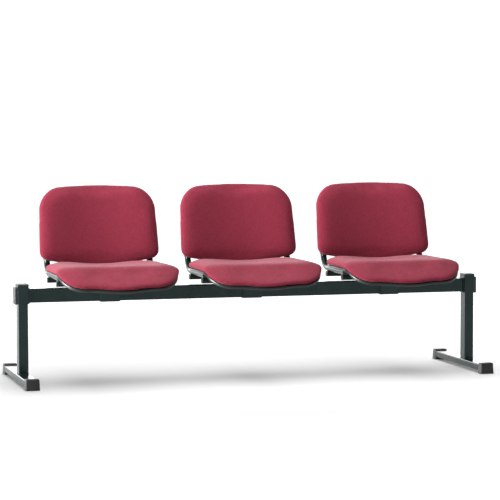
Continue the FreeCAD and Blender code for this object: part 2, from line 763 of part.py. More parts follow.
seats = (("left", -1), ("middle", 0), ("right", 1))
for side, step in seats:
    spot = FreeCAD.Vector(step * size("seatPitch"), beamY, 0)
    across = "%d * Sizes.seatPitch" % step
    shaped(side + "_seat_cushion", seatCushion, spot)
    shaped(side + "_seat_board", seatBoard, spot)
    shaped(side + "_seat_shell", seatShell, spot)
    shaped(side + "_back_cushion", backCushion, spot, True)
    shaped(side + "_back_board", backBoard, spot, True)
    shaped(side + "_back_shell", backShell, spot, True)

    # bent side tubes
    for hand, sign in (("left", -1), ("right", 1)):
        tube = newBody("%s_side_tube_%s" % (side, hand))
        path = tube.newObject("Sketcher::SketchObject", tube.Name + "Path")
        path.AttachmentSupport = [(originPlane(tube, "YZ_Plane"), "")]
        path.MapMode = "FlatFace"
        run = bendStartY - tubeFront
        rise = size("tubeRise")
        corner = FreeCAD.Vector(run, 0, 0)
        centre = FreeCAD.Vector(run, bend, 0)
        arcEnd = FreeCAD.Vector(run + bend * math.sin(turned), bend * (1 - math.cos(turned)), 0)
        top = arcEnd + FreeCAD.Vector(rise * math.sin(lean), rise * math.cos(lean), 0)
        circle = Part.Circle(centre, FreeCAD.Vector(0, 0, 1), bend)
        path.addGeometry(Part.LineSegment(FreeCAD.Vector(0, 0, 0), corner), False)
        path.addGeometry(Part.ArcOfCircle(circle, -math.pi / 2, -math.pi / 2 + turned), False)
        path.addGeometry(Part.LineSegment(arcEnd, top), False)
        path.addConstraint(Sketcher.Constraint("Coincident", 0, 1, -1, 1))
        path.addConstraint(Sketcher.Constraint("Horizontal", 0))
        path.addConstraint(Sketcher.Constraint("Tangent", 0, 2, 1, 1))
        path.addConstraint(Sketcher.Constraint("Tangent", 1, 2, 2, 1))
        for kind, edge, guess, formula in (
            ("Radius", 1, bend, "Sizes.tubeBend"),
            ("Distance", 0, run, "Sizes.tubeRun"),
            ("Distance", 2, rise, "Sizes.tubeRise"),
            ("Angle", 2, turned, "(90 - Sizes.backLean) * 1 deg"),
        ):
            number = path.addConstraint(Sketcher.Constraint(kind, edge, guess))
            path.setExpression("Constraints[%d]" % number, formula)
        profile = newSketch(tube, "XZ_Plane")
        ring(profile, "0", "0", "Sizes.tubeRound")
        ring(profile, "0", "0", "Sizes.tubeRound - 2 * Sizes.tubeWall")
        pipe = tube.newObject("PartDesign::AdditivePipe", tube.Name + "Pipe")
        pipe.Profile = profile
        pipe.Spine = path
        tube.Tip = pipe
        doc.recompute()
        place(tube, across + (" - " if sign < 0 else " + ") + "Sizes.tubeX",
              "Sizes.beamY + Sizes.tubeStart", barTop + " + Sizes.tubeRound / 2")
        nodes.append(tube)

    # square crossbars under the side tubes
    for name, face, offsetY in (("front", "barFront", 0), ("rear", "barRear", 1)):
        bar = newBody("%s_crossbar_%s" % (side, name))
        section = newSketch(bar, "YZ_Plane")
        centred(section, "Sizes.barDepth", "Sizes.barHeight")
        centred(section, "Sizes.barDepth - 2 * Sizes.barWall", "Sizes.barHeight - 2 * Sizes.barWall")
        pad(bar, section, "2 * Sizes.barHalf", "Symmetric")
        rounded(bar, 1.5, outerLong(0))
        place(bar, across, "Sizes.beamY + Sizes.%s + Sizes.barDepth / 2" % face, barLow + " + Sizes.barHeight / 2")
        nodes.append(bar)

    # channel on top of the beam, its sheet bent down along both sides
    saddle = newBody(side + "_clamp_saddle")
    length = "(Sizes.barRear - Sizes.barFront + Sizes.barDepth)"
    section = newSketch(saddle, "XZ_Plane")
    wide = "Sizes.saddleWidth / 2"
    within = "(%s - Sizes.plateThick)" % wide
    under = "(Sizes.saddleHeight - Sizes.plateThick)"
    outline(section, [
        ("-" + wide, "0"), ("-" + within, "0"), ("-" + within, under), (within, under),
        (within, "0"), (wide, "0"), (wide, "Sizes.saddleHeight"), ("-" + wide, "Sizes.saddleHeight"),
    ])
    pad(saddle, section, length, "Symmetric")
    rounded(saddle, 3, lambda edge, box: runsAlong(edge, 1) and edge.CenterOfMass.z > box.ZMax - 1e-6)
    saddleShift = "((Sizes.barRear + Sizes.barDepth + Sizes.barFront) / 2)"
    place(saddle, across, "Sizes.beamY + " + saddleShift, beamTop)
    nodes.append(saddle)

    # strap bent round the beam, with a flange on each side under the channel
    strap = newBody(side + "_clamp_strap")
    section = newSketch(strap, "YZ_Plane")
    inner = "(Sizes.beamDepth / 2)"
    outer = "(Sizes.beamDepth / 2 + Sizes.plateThick)"
    tip = "(Sizes.beamDepth / 2 + Sizes.flangeReach)"
    low = "(-Sizes.beamHeight / 2)"
    bottom = "(-Sizes.beamHeight / 2 - 3.5)"
    seatUp = "(Sizes.beamHeight / 2 + Sizes.saddleHeight - Sizes.plateThick)"
    seatDown = "(Sizes.beamHeight / 2 + Sizes.saddleHeight - 2 * Sizes.plateThick)"
    outline(section, [
        ("-" + inner, low), (inner, low), (inner, seatUp), (tip, seatUp), (tip, seatDown), (outer, seatDown),
        (outer, bottom + " + 3"), ("(%s - 3)" % outer, bottom), ("-(%s - 3)" % outer, bottom),
        ("-" + outer, bottom + " + 3"), ("-" + outer, seatDown), ("-" + tip, seatDown),
        ("-" + tip, seatUp), ("-" + inner, seatUp),
    ])
    pad(strap, section, "Sizes.saddleWidth - 2 * Sizes.plateThick - 1", "Symmetric")
    place(strap, across, "Sizes.beamY", beamMiddle)
    nodes.append(strap)

# small plastic plugs in the ends of the crossbars
barPlugSpots = []
for side, step in seats:
    shift = FreeCAD.Vector(step * size("seatPitch"), beamY, 0)
    for x, turn in ((-size("barHalf"), -90), (size("barHalf"), 90)):
        for y in barMiddles:
            spot = shift + FreeCAD.Vector(x, y, barBase + size("barHeight") / 2)
            barPlugSpots.append(FreeCAD.Placement(spot, FreeCAD.Rotation(FreeCAD.Vector(0, 1, 0), turn)))
# small plugs, flange outward and spigot inward, drawn standing on their flange
wall = size("barWall") + 0.2
plugFlange = Part.makeBox(size("barHeight"), size("barDepth"), size("plugThick"),
                          FreeCAD.Vector(-size("barHeight") / 2, -size("barDepth") / 2, 0))
spigotX = size("barHeight") - 2 * wall
spigotY = size("barDepth") - 2 * wall
plugSpigot = Part.makeBox(spigotX, spigotY, 12, FreeCAD.Vector(-spigotX / 2, -spigotY / 2, -12))
group("crossbar_plugs", [plugFlange.fuse(plugSpigot)], barPlugSpots)
doc.recompute()

# every piece must be sound before it is written
for item in doc.Objects:
    state = [word for word in item.State if word in ("Invalid", "Error")]
    if state:
        raise ValueError("%s is not sound: %s" % (item.Label, state))
os.makedirs("parts", exist_ok=True)
for item in nodes:
    form = item.Shape
    if form.isNull() or not form.isValid() or not form.Solids:
        raise ValueError("%s has no valid solid" % item.Label)
    form.exportStep("parts/%s.step" % item.Label)
print("pieces written:", len(nodes))
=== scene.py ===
import math
import bpy
from mathutils import Matrix
import numpy as np


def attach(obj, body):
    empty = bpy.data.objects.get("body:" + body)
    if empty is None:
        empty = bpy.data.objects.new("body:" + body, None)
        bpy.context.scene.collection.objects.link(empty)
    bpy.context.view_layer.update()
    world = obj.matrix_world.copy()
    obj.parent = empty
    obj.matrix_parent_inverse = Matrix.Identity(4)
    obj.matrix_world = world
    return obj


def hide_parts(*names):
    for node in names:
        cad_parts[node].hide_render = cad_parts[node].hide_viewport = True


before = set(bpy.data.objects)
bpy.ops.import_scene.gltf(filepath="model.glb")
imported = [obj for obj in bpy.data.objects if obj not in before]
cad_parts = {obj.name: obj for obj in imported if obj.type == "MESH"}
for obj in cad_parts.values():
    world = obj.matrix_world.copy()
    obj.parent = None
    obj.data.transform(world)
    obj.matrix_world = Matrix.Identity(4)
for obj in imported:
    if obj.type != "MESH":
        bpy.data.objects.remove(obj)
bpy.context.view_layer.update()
scene = bpy.context.scene
beamY = -27.0  # the beam's middle in depth; every local number below is in millimetres
seatMiddle = {"left": -566.0, "middle": 0.0, "right": 566.0}

# taken from the left, a little above the seats (degrees, metres, pixels)
view = {"yaw": 15.768, "pitch": 3.847, "roll": -0.056, "place": (-2.2337, -7.9209, 1.0439), "focal": 2105.1, "pixels": 500}


def addCamera(view):
    # right, up and forward from yaw about Z, pitch downwards and roll about the view line
    yaw, pitch, roll = (math.radians(view[key]) for key in ("yaw", "pitch", "roll"))
    forward = np.array([math.sin(yaw) * math.cos(pitch), math.cos(yaw) * math.cos(pitch), -math.sin(pitch)])
    level = np.array([math.cos(yaw), -math.sin(yaw), 0.0])
    above = np.cross(level, forward)
    right = level * math.cos(roll) + above * math.sin(roll)
    up = above * math.cos(roll) - level * math.sin(roll)
    lens = bpy.data.cameras.new("camera")
    lens.sensor_width = 36.0
    lens.lens = view["focal"] / view["pixels"] * lens.sensor_width
    lens.clip_end = 200
    camera = bpy.data.objects.new("camera", lens)
    scene.collection.objects.link(camera)
    turn = np.eye(4)
    turn[:3, 0], turn[:3, 1], turn[:3, 2], turn[:3, 3] = right, up, -forward, view["place"]
    camera.matrix_world = Matrix(turn.tolist())
    scene.camera = camera


addCamera(view)
print("camera placed")


def newMaterial(name):
    made = bpy.data.materials.new(name)
    made.use_nodes = True
    tree = made.node_tree
    return made, tree, tree.nodes["Principled BSDF"]


def add(tree, kind, settings=None, **inputs):
    # one node; numbers and links go to its inputs by name, _ for a blank, or by position as i0, i1
    made = tree.nodes.new("ShaderNode" + kind)
    for key, value in (settings or {}).items():
        setattr(made, key, value)
    for key, value in inputs.items():
        place = int(key[1:]) if key[0] == "i" and key[1:].isdigit() else key.replace("_", " ")
        socket = made.inputs[place]
        if isinstance(value, bpy.types.NodeSocket):
            tree.links.new(value, socket)
        else:
            socket.default_value = value
    return made


def calc(tree, way, a, b=0.0):
    return add(tree, "Math", {"operation": way}, i0=a, i1=b).outputs[0]


def blendOf(tree, share, low, high):
    # colour between two colours
    mix = add(tree, "Mix", {"data_type": "RGBA"})
    for place, value in ((0, share), (6, low), (7, high)):
        if isinstance(value, bpy.types.NodeSocket):
            tree.links.new(value, mix.inputs[place])
        else:
            mix.inputs[place].default_value = value
    return mix.outputs[2]


def spread(tree, source, low, high, fromLow=0.3, fromHigh=0.7):
    # a noise's middle band stretched to run from low to high
    return add(tree, "MapRange", None, Value=source, From_Min=fromLow, From_Max=fromHigh, To_Min=low, To_Max=high).outputs[0]


def noise(tree, where, scale, detail=3.0, rough=0.55):
    return add(tree, "TexNoise", None, Vector=where, Scale=scale, Detail=detail, Roughness=rough).outputs["Fac"]


# between is painted shade for the gaps of the weave
cloth = {"thread": 0.00095, "deep": (0.135, 0.0085, 0.021, 1), "bright": (0.215, 0.0135, 0.035, 1),
         "worn": (0.25, 0.026, 0.050, 1), "between": (0.07, 0.004, 0.010, 1), "sheen": 0.12}


def upholsteryCloth(cloth):
    # plain weave: where sin u times sin v is positive the warp's |sin u| is on top, elsewhere the weft's |sin v|; the
    # low gaps between the threads get painted shade
    made, tree, shader = newMaterial("upholsteryCloth")
    uv = add(tree, "UVMap", {"uv_map": "cloth"}).outputs[0]
    place = add(tree, "TexCoord").outputs["Object"]
    slub = noise(tree, uv, 240, 2)
    axes = add(tree, "SeparateXYZ", None, Vector=uv)
    turns = math.pi / cloth["thread"]
    waver = spread(tree, slub, -0.5, 0.5)
    warp = calc(tree, "SINE", calc(tree, "ADD", calc(tree, "MULTIPLY", axes.outputs[0], turns), waver))
    weft = calc(tree, "SINE", calc(tree, "ADD", calc(tree, "MULTIPLY", axes.outputs[1], turns), waver))
    over = calc(tree, "GREATER_THAN", calc(tree, "MULTIPLY", warp, weft), 0.0)
    warpHigh = calc(tree, "MULTIPLY", calc(tree, "ABSOLUTE", warp), over)
    weftHigh = calc(tree, "MULTIPLY", calc(tree, "ABSOLUTE", weft), calc(tree, "SUBTRACT", 1.0, over))
    weave = calc(tree, "ADD", warpHigh, weftHigh)
    patch = noise(tree, place, 150, 5, 0.7)
    fibre = noise(tree, uv, 900, 4, 0.7)
    tone = blendOf(tree, spread(tree, patch, 0.0, 1.0, 0.36, 0.64), cloth["deep"], cloth["bright"])
    tone = blendOf(tree, spread(tree, fibre, 0.0, 0.35), tone, cloth["deep"])
    # painted shade: the colour darkens towards between where the weave is low, in the gaps between the threads
    tone = blendOf(tree, spread(tree, weave, 0.28, 0.0, 0.0, 0.6), tone, cloth["between"])
    wear = add(tree, "Attribute", {"attribute_name": "wear"}).outputs["Fac"]
    rubbed = calc(tree, "MULTIPLY", wear, spread(tree, noise(tree, place, 30, 4), 0.0, 0.55))
    tone = blendOf(tree, rubbed, tone, cloth["worn"])
    tree.links.new(tone, shader.inputs["Base Color"])
    tree.links.new(spread(tree, fibre, 0.78, 0.95), shader.inputs["Roughness"])
    shader.inputs["Sheen Weight"].default_value = cloth["sheen"]
    shader.inputs["Sheen Roughness"].default_value = 0.45
    shader.inputs["Sheen Tint"].default_value = (1.0, 0.72, 0.78, 1)
    shader.inputs["Specular IOR Level"].default_value = 0.25
    soft = add(tree, "Bump", None, Strength=0.3, Distance=0.0005, Height=noise(tree, place, 22, 3)).outputs[0]
    fine = add(tree, "Bump", None, Strength=0.35, Distance=0.0001, Height=fibre, Normal=soft).outputs[0]
    woven = add(tree, "Bump", None, Strength=0.55, Distance=0.0002, Height=weave, Normal=fine).outputs[0]
    tree.links.new(woven, shader.inputs["Normal"])
    return made


paint = {"deep": (0.0014, 0.0056, 0.0051, 1), "bright": (0.0028, 0.0082, 0.0076, 1), "dust": (0.035, 0.036, 0.034, 1),
         "scuffed": (0.05, 0.05, 0.048, 1), "shine": 0.38, "tint": (0.72, 1.0, 0.97, 1), "dustyUpTo": 0.16}


def framePaint(paint):
    # greenish black stove enamel: soft gloss, orange peel, dust and scuffs near the floor
    made, tree, shader = newMaterial("framePaint")
    place = add(tree, "TexCoord").outputs["Object"]
    height = add(tree, "SeparateXYZ", None, Vector=place).outputs[2]
    nearFloor = spread(tree, height, 1.0, 0.12, 0.0, paint["dustyUpTo"])
    scuff = calc(tree, "MULTIPLY", spread(tree, noise(tree, place, 38, 6, 0.7), 0.0, 1.0, 0.56, 0.74), nearFloor)
    dust = calc(tree, "MULTIPLY", spread(tree, noise(tree, place, 6, 4), 0.0, 0.35), nearFloor)
    tone = blendOf(tree, spread(tree, noise(tree, place, 3, 3), 0.0, 1.0), paint["deep"], paint["bright"])
    tone = blendOf(tree, dust, tone, paint["dust"])
    tone = blendOf(tree, calc(tree, "MULTIPLY", scuff, 0.6), tone, paint["scuffed"])
    tree.links.new(tone, shader.inputs["Base Color"])
    shader.inputs["Specular IOR Level"].default_value = paint["shine"]
    shader.inputs["Specular Tint"].default_value = paint["tint"]
    rough = calc(tree, "ADD", spread(tree, noise(tree, place, 22, 4), 0.2, 0.29), calc(tree, "MULTIPLY", scuff, 0.3))
    tree.links.new(rough, shader.inputs["Roughness"])
    peel = add(tree, "Bump", None, Strength=0.3, Distance=0.00008, Height=noise(tree, place, 420, 2)).outputs[0]
    worn = add(tree, "Bump", {"invert": True}, Strength=0.4, Distance=0.00006, Height=scuff, Normal=peel).outputs[0]
    tree.links.new(worn, shader.inputs["Normal"])
    return made


def plasticOf(name, dark, light, roughness, grain):
    # spark-eroded black plastic: a fine pitted grain, paler where it is rubbed
    made, tree, shader = newMaterial(name)
    place = add(tree, "TexCoord").outputs["Object"]
    pits = add(tree, "TexVoronoi", None, Vector=place, Scale=grain).outputs["Distance"]
    fine = noise(tree, place, grain * 0.7, 3)
    rubbed = spread(tree, noise(tree, place, 17, 5, 0.65), 0.0, 1.0, 0.45, 0.72)
    tree.links.new(blendOf(tree, rubbed, dark, light), shader.inputs["Base Color"])
    rough = spread(tree, fine, roughness - 0.05, roughness + 0.07)
    tree.links.new(calc(tree, "ADD", rough, calc(tree, "MULTIPLY", rubbed, -0.08)), shader.inputs["Roughness"])
    low = add(tree, "Bump", None, Strength=0.35, Distance=0.00012, Height=pits).outputs[0]
    high = add(tree, "Bump", None, Strength=0.25, Distance=0.00008, Height=fine, Normal=low).outputs[0]
    tree.links.new(high, shader.inputs["Normal"])
    return made


def zincSteel():
    # bright zinc plating with a faint yellow and blue cast and turning marks
    made, tree, shader = newMaterial("zincSteel")
    place = add(tree, "TexCoord").outputs["Object"]
    cast = spread(tree, noise(tree, place, 120, 3), 0.0, 1.0)
    tone = blendOf(tree, cast, (0.42, 0.43, 0.44, 1), (0.55, 0.53, 0.47, 1))
    tree.links.new(tone, shader.inputs["Base Color"])
    shader.inputs["Metallic"].default_value = 1.0
    tree.links.new(spread(tree, noise(tree, place, 700, 4), 0.28, 0.46), shader.inputs["Roughness"])
    marks = add(tree, "Bump", None, Strength=0.3, Distance=0.00005, Height=noise(tree, place, 1600, 2)).outputs[0]
    tree.links.new(marks, shader.inputs["Normal"])
    return made


def plywood():
    # beech faces: rings stretched along the grain, with fine pores
    made, tree, shader = newMaterial("plywood")
    place = add(tree, "TexCoord").outputs["Object"]
    drawn = add(tree, "Mapping", None, Vector=place, Scale=(1.0, 9.0, 9.0)).outputs[0]
    rings = add(tree, "TexWave", {"bands_direction": "Y"}, Vector=drawn, Scale=1.4, Distortion=5.0, Detail=3.0)
    rings = rings.outputs["Fac"]
    fibres = add(tree, "Mapping", None, Vector=place, Scale=(60.0, 900.0, 900.0)).outputs[0]
    pores = noise(tree, fibres, 1, 2)
    tone = blendOf(tree, rings, (0.50, 0.33, 0.18, 1), (0.62, 0.44, 0.27, 1))
    tone = blendOf(tree, spread(tree, pores, 0.0, 0.5, 0.55, 0.7), tone, (0.30, 0.18, 0.09, 1))
    tree.links.new(tone, shader.inputs["Base Color"])
    tree.links.new(spread(tree, rings, 0.55, 0.7, 0.0, 1.0), shader.inputs["Roughness"])
    relief = add(tree, "Bump", None, Strength=0.3, Distance=0.0001, Height=pores).outputs[0]
    tree.links.new(relief, shader.inputs["Normal"])
    return made


def floorPaper(studio):
    # matt studio paper, faintly uneven; it glows with painted light, faint under the seats and stronger further from
    # them
    made, tree, shader = newMaterial("floorPaper")
    place = add(tree, "TexCoord").outputs["Object"]
    uneven = spread(tree, noise(tree, place, 1.5, 3), 0.0, 1.0)
    dark, light = ((studio["paper"] + change,) * 3 + (1,) for change in (-0.01, 0.01))
    tree.links.new(blendOf(tree, uneven, dark, light), shader.inputs["Base Color"])
    tree.links.new(spread(tree, noise(tree, place, 40, 3), 0.85, 0.95), shader.inputs["Roughness"])
    away = add(tree, "VectorMath", {"operation": "LENGTH"}, i0=place).outputs["Value"]
    shader.inputs["Emission Color"].default_value = (1, 1, 1, 1)
    # painted light: the floor's glow rises with the distance from the seats
    tree.links.new(spread(tree, away, *studio["glow"], *studio["glowFrom"]), shader.inputs["Emission Strength"])
    return made


finish = {
    "fabric": upholsteryCloth(cloth),
    "paint": framePaint(paint),
    "moulded": plasticOf("mouldedPlastic", (0.010, 0.011, 0.011, 1), (0.019, 0.020, 0.020, 1), 0.5, 1300),
    "pan": plasticOf("panPlastic", (0.010, 0.012, 0.012, 1), (0.017, 0.019, 0.018, 1), 0.38, 1000),
    "zinc": zincSteel(),
    "plywood": plywood(),
}
print("finishes made")


def ease(t):
    # 3t^2 - 2t^3 between 0 and 1, level at both ends
    t = np.clip(t, 0, 1)
    return t * t * (3 - 2 * t)


def ringFaces(rings, start=None, end=None):
    # quads between rings that follow each other, and a fan to a pole at either end
    count, around = rings.shape[:2]
    points = rings.reshape(-1, 3)
    index = np.arange(count * around).reshape(count, around)
    beside = np.roll(index, -1, axis=1)
    faces = np.stack([index[:-1], beside[:-1], beside[1:], index[1:]], axis=-1).reshape(-1, 4).tolist()
    for pole, a, b in ((start, beside[0], index[0]), (end, index[-1], beside[-1])):
        if pole is not None:
            points = np.vstack([points, pole])
            faces += np.stack([a, b, np.full(around, len(points) - 1)], axis=-1).tolist()
    return points, faces


def outwards(points, faces):
    # the volumes from the middle to each face add up to less than zero when the faces look inwards
    fans = np.array([(f[0], f[i], f[i + 1]) for f in faces for i in range(1, len(f) - 1)])
    middle = points.mean(axis=0)
    a, b, c = (points[fans[:, i]] - middle for i in range(3))
    if np.einsum("ij,ij->i", a, np.cross(b, c)).sum() < 0:
        faces = [face[::-1] for face in faces]
    return points, faces


def joined(forms):
    # several closed forms as one, each turned outwards first
    points, faces, total = [], [], 0
    for form in forms:
        somePoints, someFaces = outwards(*form)
        points.append(somePoints)
        faces += [[i + total for i in face] for face in someFaces]
        total += len(somePoints)
    return np.vstack(points), faces


def asMesh(name, points, faces):
    mesh = bpy.data.meshes.new(name)
    mesh.from_pydata((np.asarray(points) * 0.001).tolist(), [], faces)
    mesh.update()
    return mesh


def addPiece(name, mesh, material, nodes=(), sharp=35):
    mesh.materials.clear()
    mesh.materials.append(material)
    mesh.shade_smooth()
    if sharp:
        mesh.set_sharp_from_angle(angle=math.radians(sharp))
    piece = bpy.data.objects.new(name, mesh)
    scene.collection.objects.link(piece)
    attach(piece, "root")
    known = [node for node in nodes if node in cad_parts]
    if known:
        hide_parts(*known)
    return piece


def evenly(line, count, density=None):
    # a closed line resampled by its length, closer together where the density is higher
    closed = np.vstack([line, line[:1]])
    step = np.linalg.norm(np.diff(closed, axis=0), axis=1)
    if density is not None:
        step = step * density((closed[1:] + closed[:-1]) / 2)
    run = np.concatenate([[0.0], np.cumsum(step)])
    spots = np.arange(count) / count * run[-1]
    return np.stack([np.interp(spots, run, closed[:, axis]) for axis in (0, 1)], axis=1)


def normalsOf(line):
    # outward normals of a closed line that runs anticlockwise
    along = np.roll(line, -1, axis=0) - np.roll(line, 1, axis=0)
    along /= np.linalg.norm(along, axis=1)[:, None]
    return np.stack([along[:, 1], -along[:, 0]], axis=1)


def stacked(line, centre, rows):
    # rows of (inset, scale, height): the outline moved in along its normals, drawn to the centre and set at height(x, y)
    normals = normalsOf(line)
    rings = []
    for inset, scale, height in rows:
        flat = centre + (line - normals * inset - centre) * scale
        rings.append(np.column_stack([flat, height(flat[:, 0], flat[:, 1])]))
    return np.array(rings)


# outline and curved layers of a seat, seen from above with the front at negative y
seat = {"half": 237.5, "front": -250.0, "frontBow": 12.0, "frontRadius": 100.0, "rear": 156.0, "rearRadius": 115.0,
        "level": 422.0, "dip": 24.8, "dipHalf": 100.0, "dipFade": 90.0, "dipFront": -195.0, "dipRun": 100.0,
        "edge": 29.0, "knee": -150.0, "kneeRadius": 60.0, "slope": 32.0, "sag": 3.0, "sagMore": 10.0, "sagRun": 250.0,
        "rearRise": 5.0, "riseFrom": 10.0, "riseRun": 120.0, "middle": (0.0, -40.0), "rimUpper": 38.0, "rimLower": 10.0,
        "widest": 0.6, "fullness": 2.1, "roll": 0.34, "rollWide": 90.0, "seed": 11, "drift": 0.7, "fill": 0.8,
        "wear": 0.25, "wearMore": 0.9, "wearFrom": -170.0, "wearRun": -70.0, "wearHalf": 60.0, "wearFade": 150.0}


def seatOutline(seat):
    # bowed front, front corner, side, rear corner and straight rear of the right half, then mirrored
    frontRound, rearRound = seat["frontRadius"], seat["rearRadius"]
    reach = seat["half"] - frontRound
    heel = seat["half"] - rearRound
    t = np.linspace(0, 1, 80)
    front = np.stack([reach * t, seat["front"] - seat["frontBow"] * (1 - ease(t))], axis=1)
    a = np.radians(np.linspace(-90, 0, 80))
    corner = np.stack([reach + frontRound * np.cos(a), seat["front"] + frontRound * (1 + np.sin(a))], axis=1)
    a = a + math.pi / 2
    rearCorner = np.stack([heel + rearRound * np.cos(a), seat["rear"] - rearRound * (1 - np.sin(a))], axis=1)
    half = np.vstack([front, corner[1:], rearCorner, [[0.0, seat["rear"]]]])
    return np.vstack([half, half[::-1][1:-1] * [-1, 1]])


def fall(y):
    # behind the knee line level, then an arc, then a straight slope down to the front
    run = np.maximum(seat["knee"] - y, 0)
    radius, slope = seat["kneeRadius"], math.radians(seat["slope"])
    arc = radius * math.sin(slope)
    bent = radius - np.sqrt(radius ** 2 - np.minimum(run, arc) ** 2)
    return bent + np.maximum(run - arc, 0) * math.tan(slope)


def seatLow(x, y):
    # underside: level at the side tubes, eased down by the dip between them, and falling at the front
    inside = 1 - ease((np.abs(x) - seat["dipHalf"]) / seat["dipFade"])
    hollow = inside * ease((y - seat["dipFront"]) / seat["dipRun"])
    return seat["level"] - seat["dip"] * hollow - fall(y)


def seatHigh(x, y):
    # top: the edge's thickness over the level, sagging more to the rear and the middle, with a raised rear
    sag = seat["sag"] + seat["sagMore"] * ease((y - seat["knee"]) / seat["sagRun"])
    hollow = sag * (1 - ease(np.abs(x) / seat["half"]))
    rise = seat["rearRise"] * ease((y - seat["riseFrom"]) / seat["riseRun"])
    return seat["level"] + seat["edge"] + rise - hollow - fall(y)


# outline and curved layers of a back, in its own plane: u up the lean, w towards the rear
back = {"half": 238.5, "halfTop": 232.0, "heel": 30.0, "foot": 6.5, "footBow": 25.0, "top": 300.0, "topBow": 19.0,
        "shoulder": (84.0, 86.0), "bow": 24.6, "bowHalf": 237.5, "bowReach": 260.0, "lean": 13.0, "place": (191.0, 450.0),
        "front": 23.5, "hollow": 5.0, "rear": 12.7, "crown": 2.0, "crownAt": 140.0, "crownRun": 200.0,
        "middle": (0.0, 150.0), "rimUpper": 26.0, "rimLower": 4.5, "widest": 0.33, "fullness": 2.0, "roll": 0.40,
        "rollWide": 125.0, "seed": 31, "drift": 0.5, "fill": 0.85,
        "wear": 0.2, "wearMore": 0.7, "wearFrom": 225.0, "wearRun": 60.0, "wearHalf": 300.0, "wearFade": 1.0}
backRadius = (back["bowHalf"] ** 2 + back["bow"] ** 2) / (2 * back["bow"])


def backOutline(back):
    # arched foot, heel corner, side, elliptic shoulder and arched top of the right half, then mirrored
    footEnd = back["half"] - back["heel"]
    wide, tall = back["shoulder"]
    x = np.linspace(0, footEnd, 70)
    arch = lambda x: back["foot"] - back["footBow"] * (1 - (x / back["half"]) ** 1.7)
    low = np.stack([x, arch(x)], axis=1)
    a = np.radians(np.linspace(-90, 0, 50))
    x = footEnd + back["heel"] * np.cos(a)
    heel = np.stack([x, arch(x) + back["heel"] * (1 + np.sin(a))], axis=1)
    a = a + math.pi / 2
    x = back["halfTop"] - wide * (1 - np.cos(a))
    crest = lambda x: back["top"] - back["topBow"] * (x / back["halfTop"]) ** 2
    shoulder = np.stack([x, crest(x) - tall * (1 - np.sin(a))], axis=1)
    x = np.linspace(x[-1], 0, 60)[1:]
    half = np.vstack([low, heel[1:], shoulder, np.stack([x, crest(x)], axis=1)])
    return np.vstack([half, half[::-1][1:-1] * [-1, 1]])


def bow(x):
    # the back curves round the sitter along an arc: sqrt(r^2 - x^2) - r
    return np.sqrt(backRadius ** 2 - np.minimum(np.abs(x), back["bowReach"]) ** 2) - backRadius


def backFront(x, u):
    # front face: the arc moved forward, hollowed across its width and crowned along its height, both as 1 - t^2
    hollow = back["hollow"] * (1 - (x / back["half"]) ** 2)
    crown = back["crown"] * (1 - ((u - back["crownAt"]) / back["crownRun"]) ** 2)
    return bow(x) - back["front"] + hollow - crown


def leaned(points, seatX):
    # from the plane of a back (x, u, w) into the room
    lean = math.radians(back["lean"])
    x, u, w = points[..., 0], points[..., 1], points[..., 2]
    y = beamY + back["place"][0] + w * math.cos(lean) + u * math.sin(lean)
    z = back["place"][1] + u * math.cos(lean) - w * math.sin(lean)
    return np.stack([x + seatX, y, z], axis=-1)


def placed(points, seatX):
    return points + np.array([seatX, beamY, 0.0])


def gapTo(line, spots):
    # distance of every spot to the nearest point of the outline
    flat = spots.reshape(-1, 2)
    return np.sqrt(((flat[:, None] - line[None]) ** 2).sum(axis=-1).min(axis=1)).reshape(spots.shape[:-1])


def cushionForm(form, line, under, over, grow):
    # rings from the underside's middle over a rounded lower rim to the widest line and over the top, where the share of
    # the way from under to over grows with the gaps g to the edge and s to the side: superelliptic rim plus soft roll,
    # (1 - roll) * (1 - (1 - g / rim)^p)^(1/p) + roll * (1 - (1 - s / wide)^2)
    line = evenly(line, 300)
    line = line + normalsOf(line) * grow
    centre = np.array(form["middle"])
    t = np.linspace(0, math.pi / 2, 9)
    power = 2 / form["fullness"]
    across, rise = np.cos(t) ** power, np.sin(t) ** power
    across[-1] = 0.0
    widest = form["widest"]

    def level(share):
        return lambda x, y: under(x, y) + (over(x, y) - under(x, y)) * share

    rows = [(form["rimLower"], s, level(0)) for s in np.linspace(0.06, 1, 16)[:-1]]
    rows += [(form["rimLower"] * (1 - c), 1, level(widest * (1 - r))) for c, r in zip(across[::-1], rise[::-1])]
    lower = stacked(line, centre, rows)
    # no ring moves in further than the tightest corner bears; beyond that it is drawn to the centre
    bears, toCentre = 20.0, 150
    reach = form["rimUpper"] * (1 - across[1:])
    rows = [(min(d, bears), 1 - max(d - bears, 0) / toCentre, level(1)) for d in reach]
    rows += [(bears, s, level(1)) for s in np.linspace(rows[-1][1], 0.03, 28)[1:]]
    upper = stacked(line, centre, rows)
    x, y = upper[..., 0], upper[..., 1]
    gap = gapTo(evenly(line, 1200), upper[..., :2])
    rim = (1 - (1 - np.clip(gap / form["rimUpper"], 0, 1)) ** form["fullness"]) ** (1 / form["fullness"])
    soft = 1 - (1 - np.clip((form["half"] - np.abs(x)) / form["rollWide"], 0, 1)) ** 2
    share = widest + (1 - widest) * (rim * (1 - form["roll"]) + soft * form["roll"])
    upper[..., 2] = under(x, y) + (over(x, y) - under(x, y)) * share
    rings = np.concatenate([lower, upper])
    low = np.array([*centre, level(0)(*centre)])
    high = np.array([*centre, level(1)(*centre)])
    return outwards(*ringFaces(rings, low, high))


padding = {"voxel": 5.0, "pressure": 4.0, "frames": 20, "quality": 6, "mass": 0.25, "tension": 12, "shear": 4,
           "bending": 1.5, "smoothing": 8, "evening": 30, "smoothingAfter": 6, "swell": 6.0, "backShare": 0.9,
           "sideShare": 0.2, "heldWithin": 3.5, "atMost": 8.5, "rolled": 14}


def settled(source):
    # what an object's modifiers give, as a new mesh
    made = bpy.data.meshes.new_from_object(source.evaluated_get(bpy.context.evaluated_depsgraph_get()))
    source.modifiers.clear()
    return made


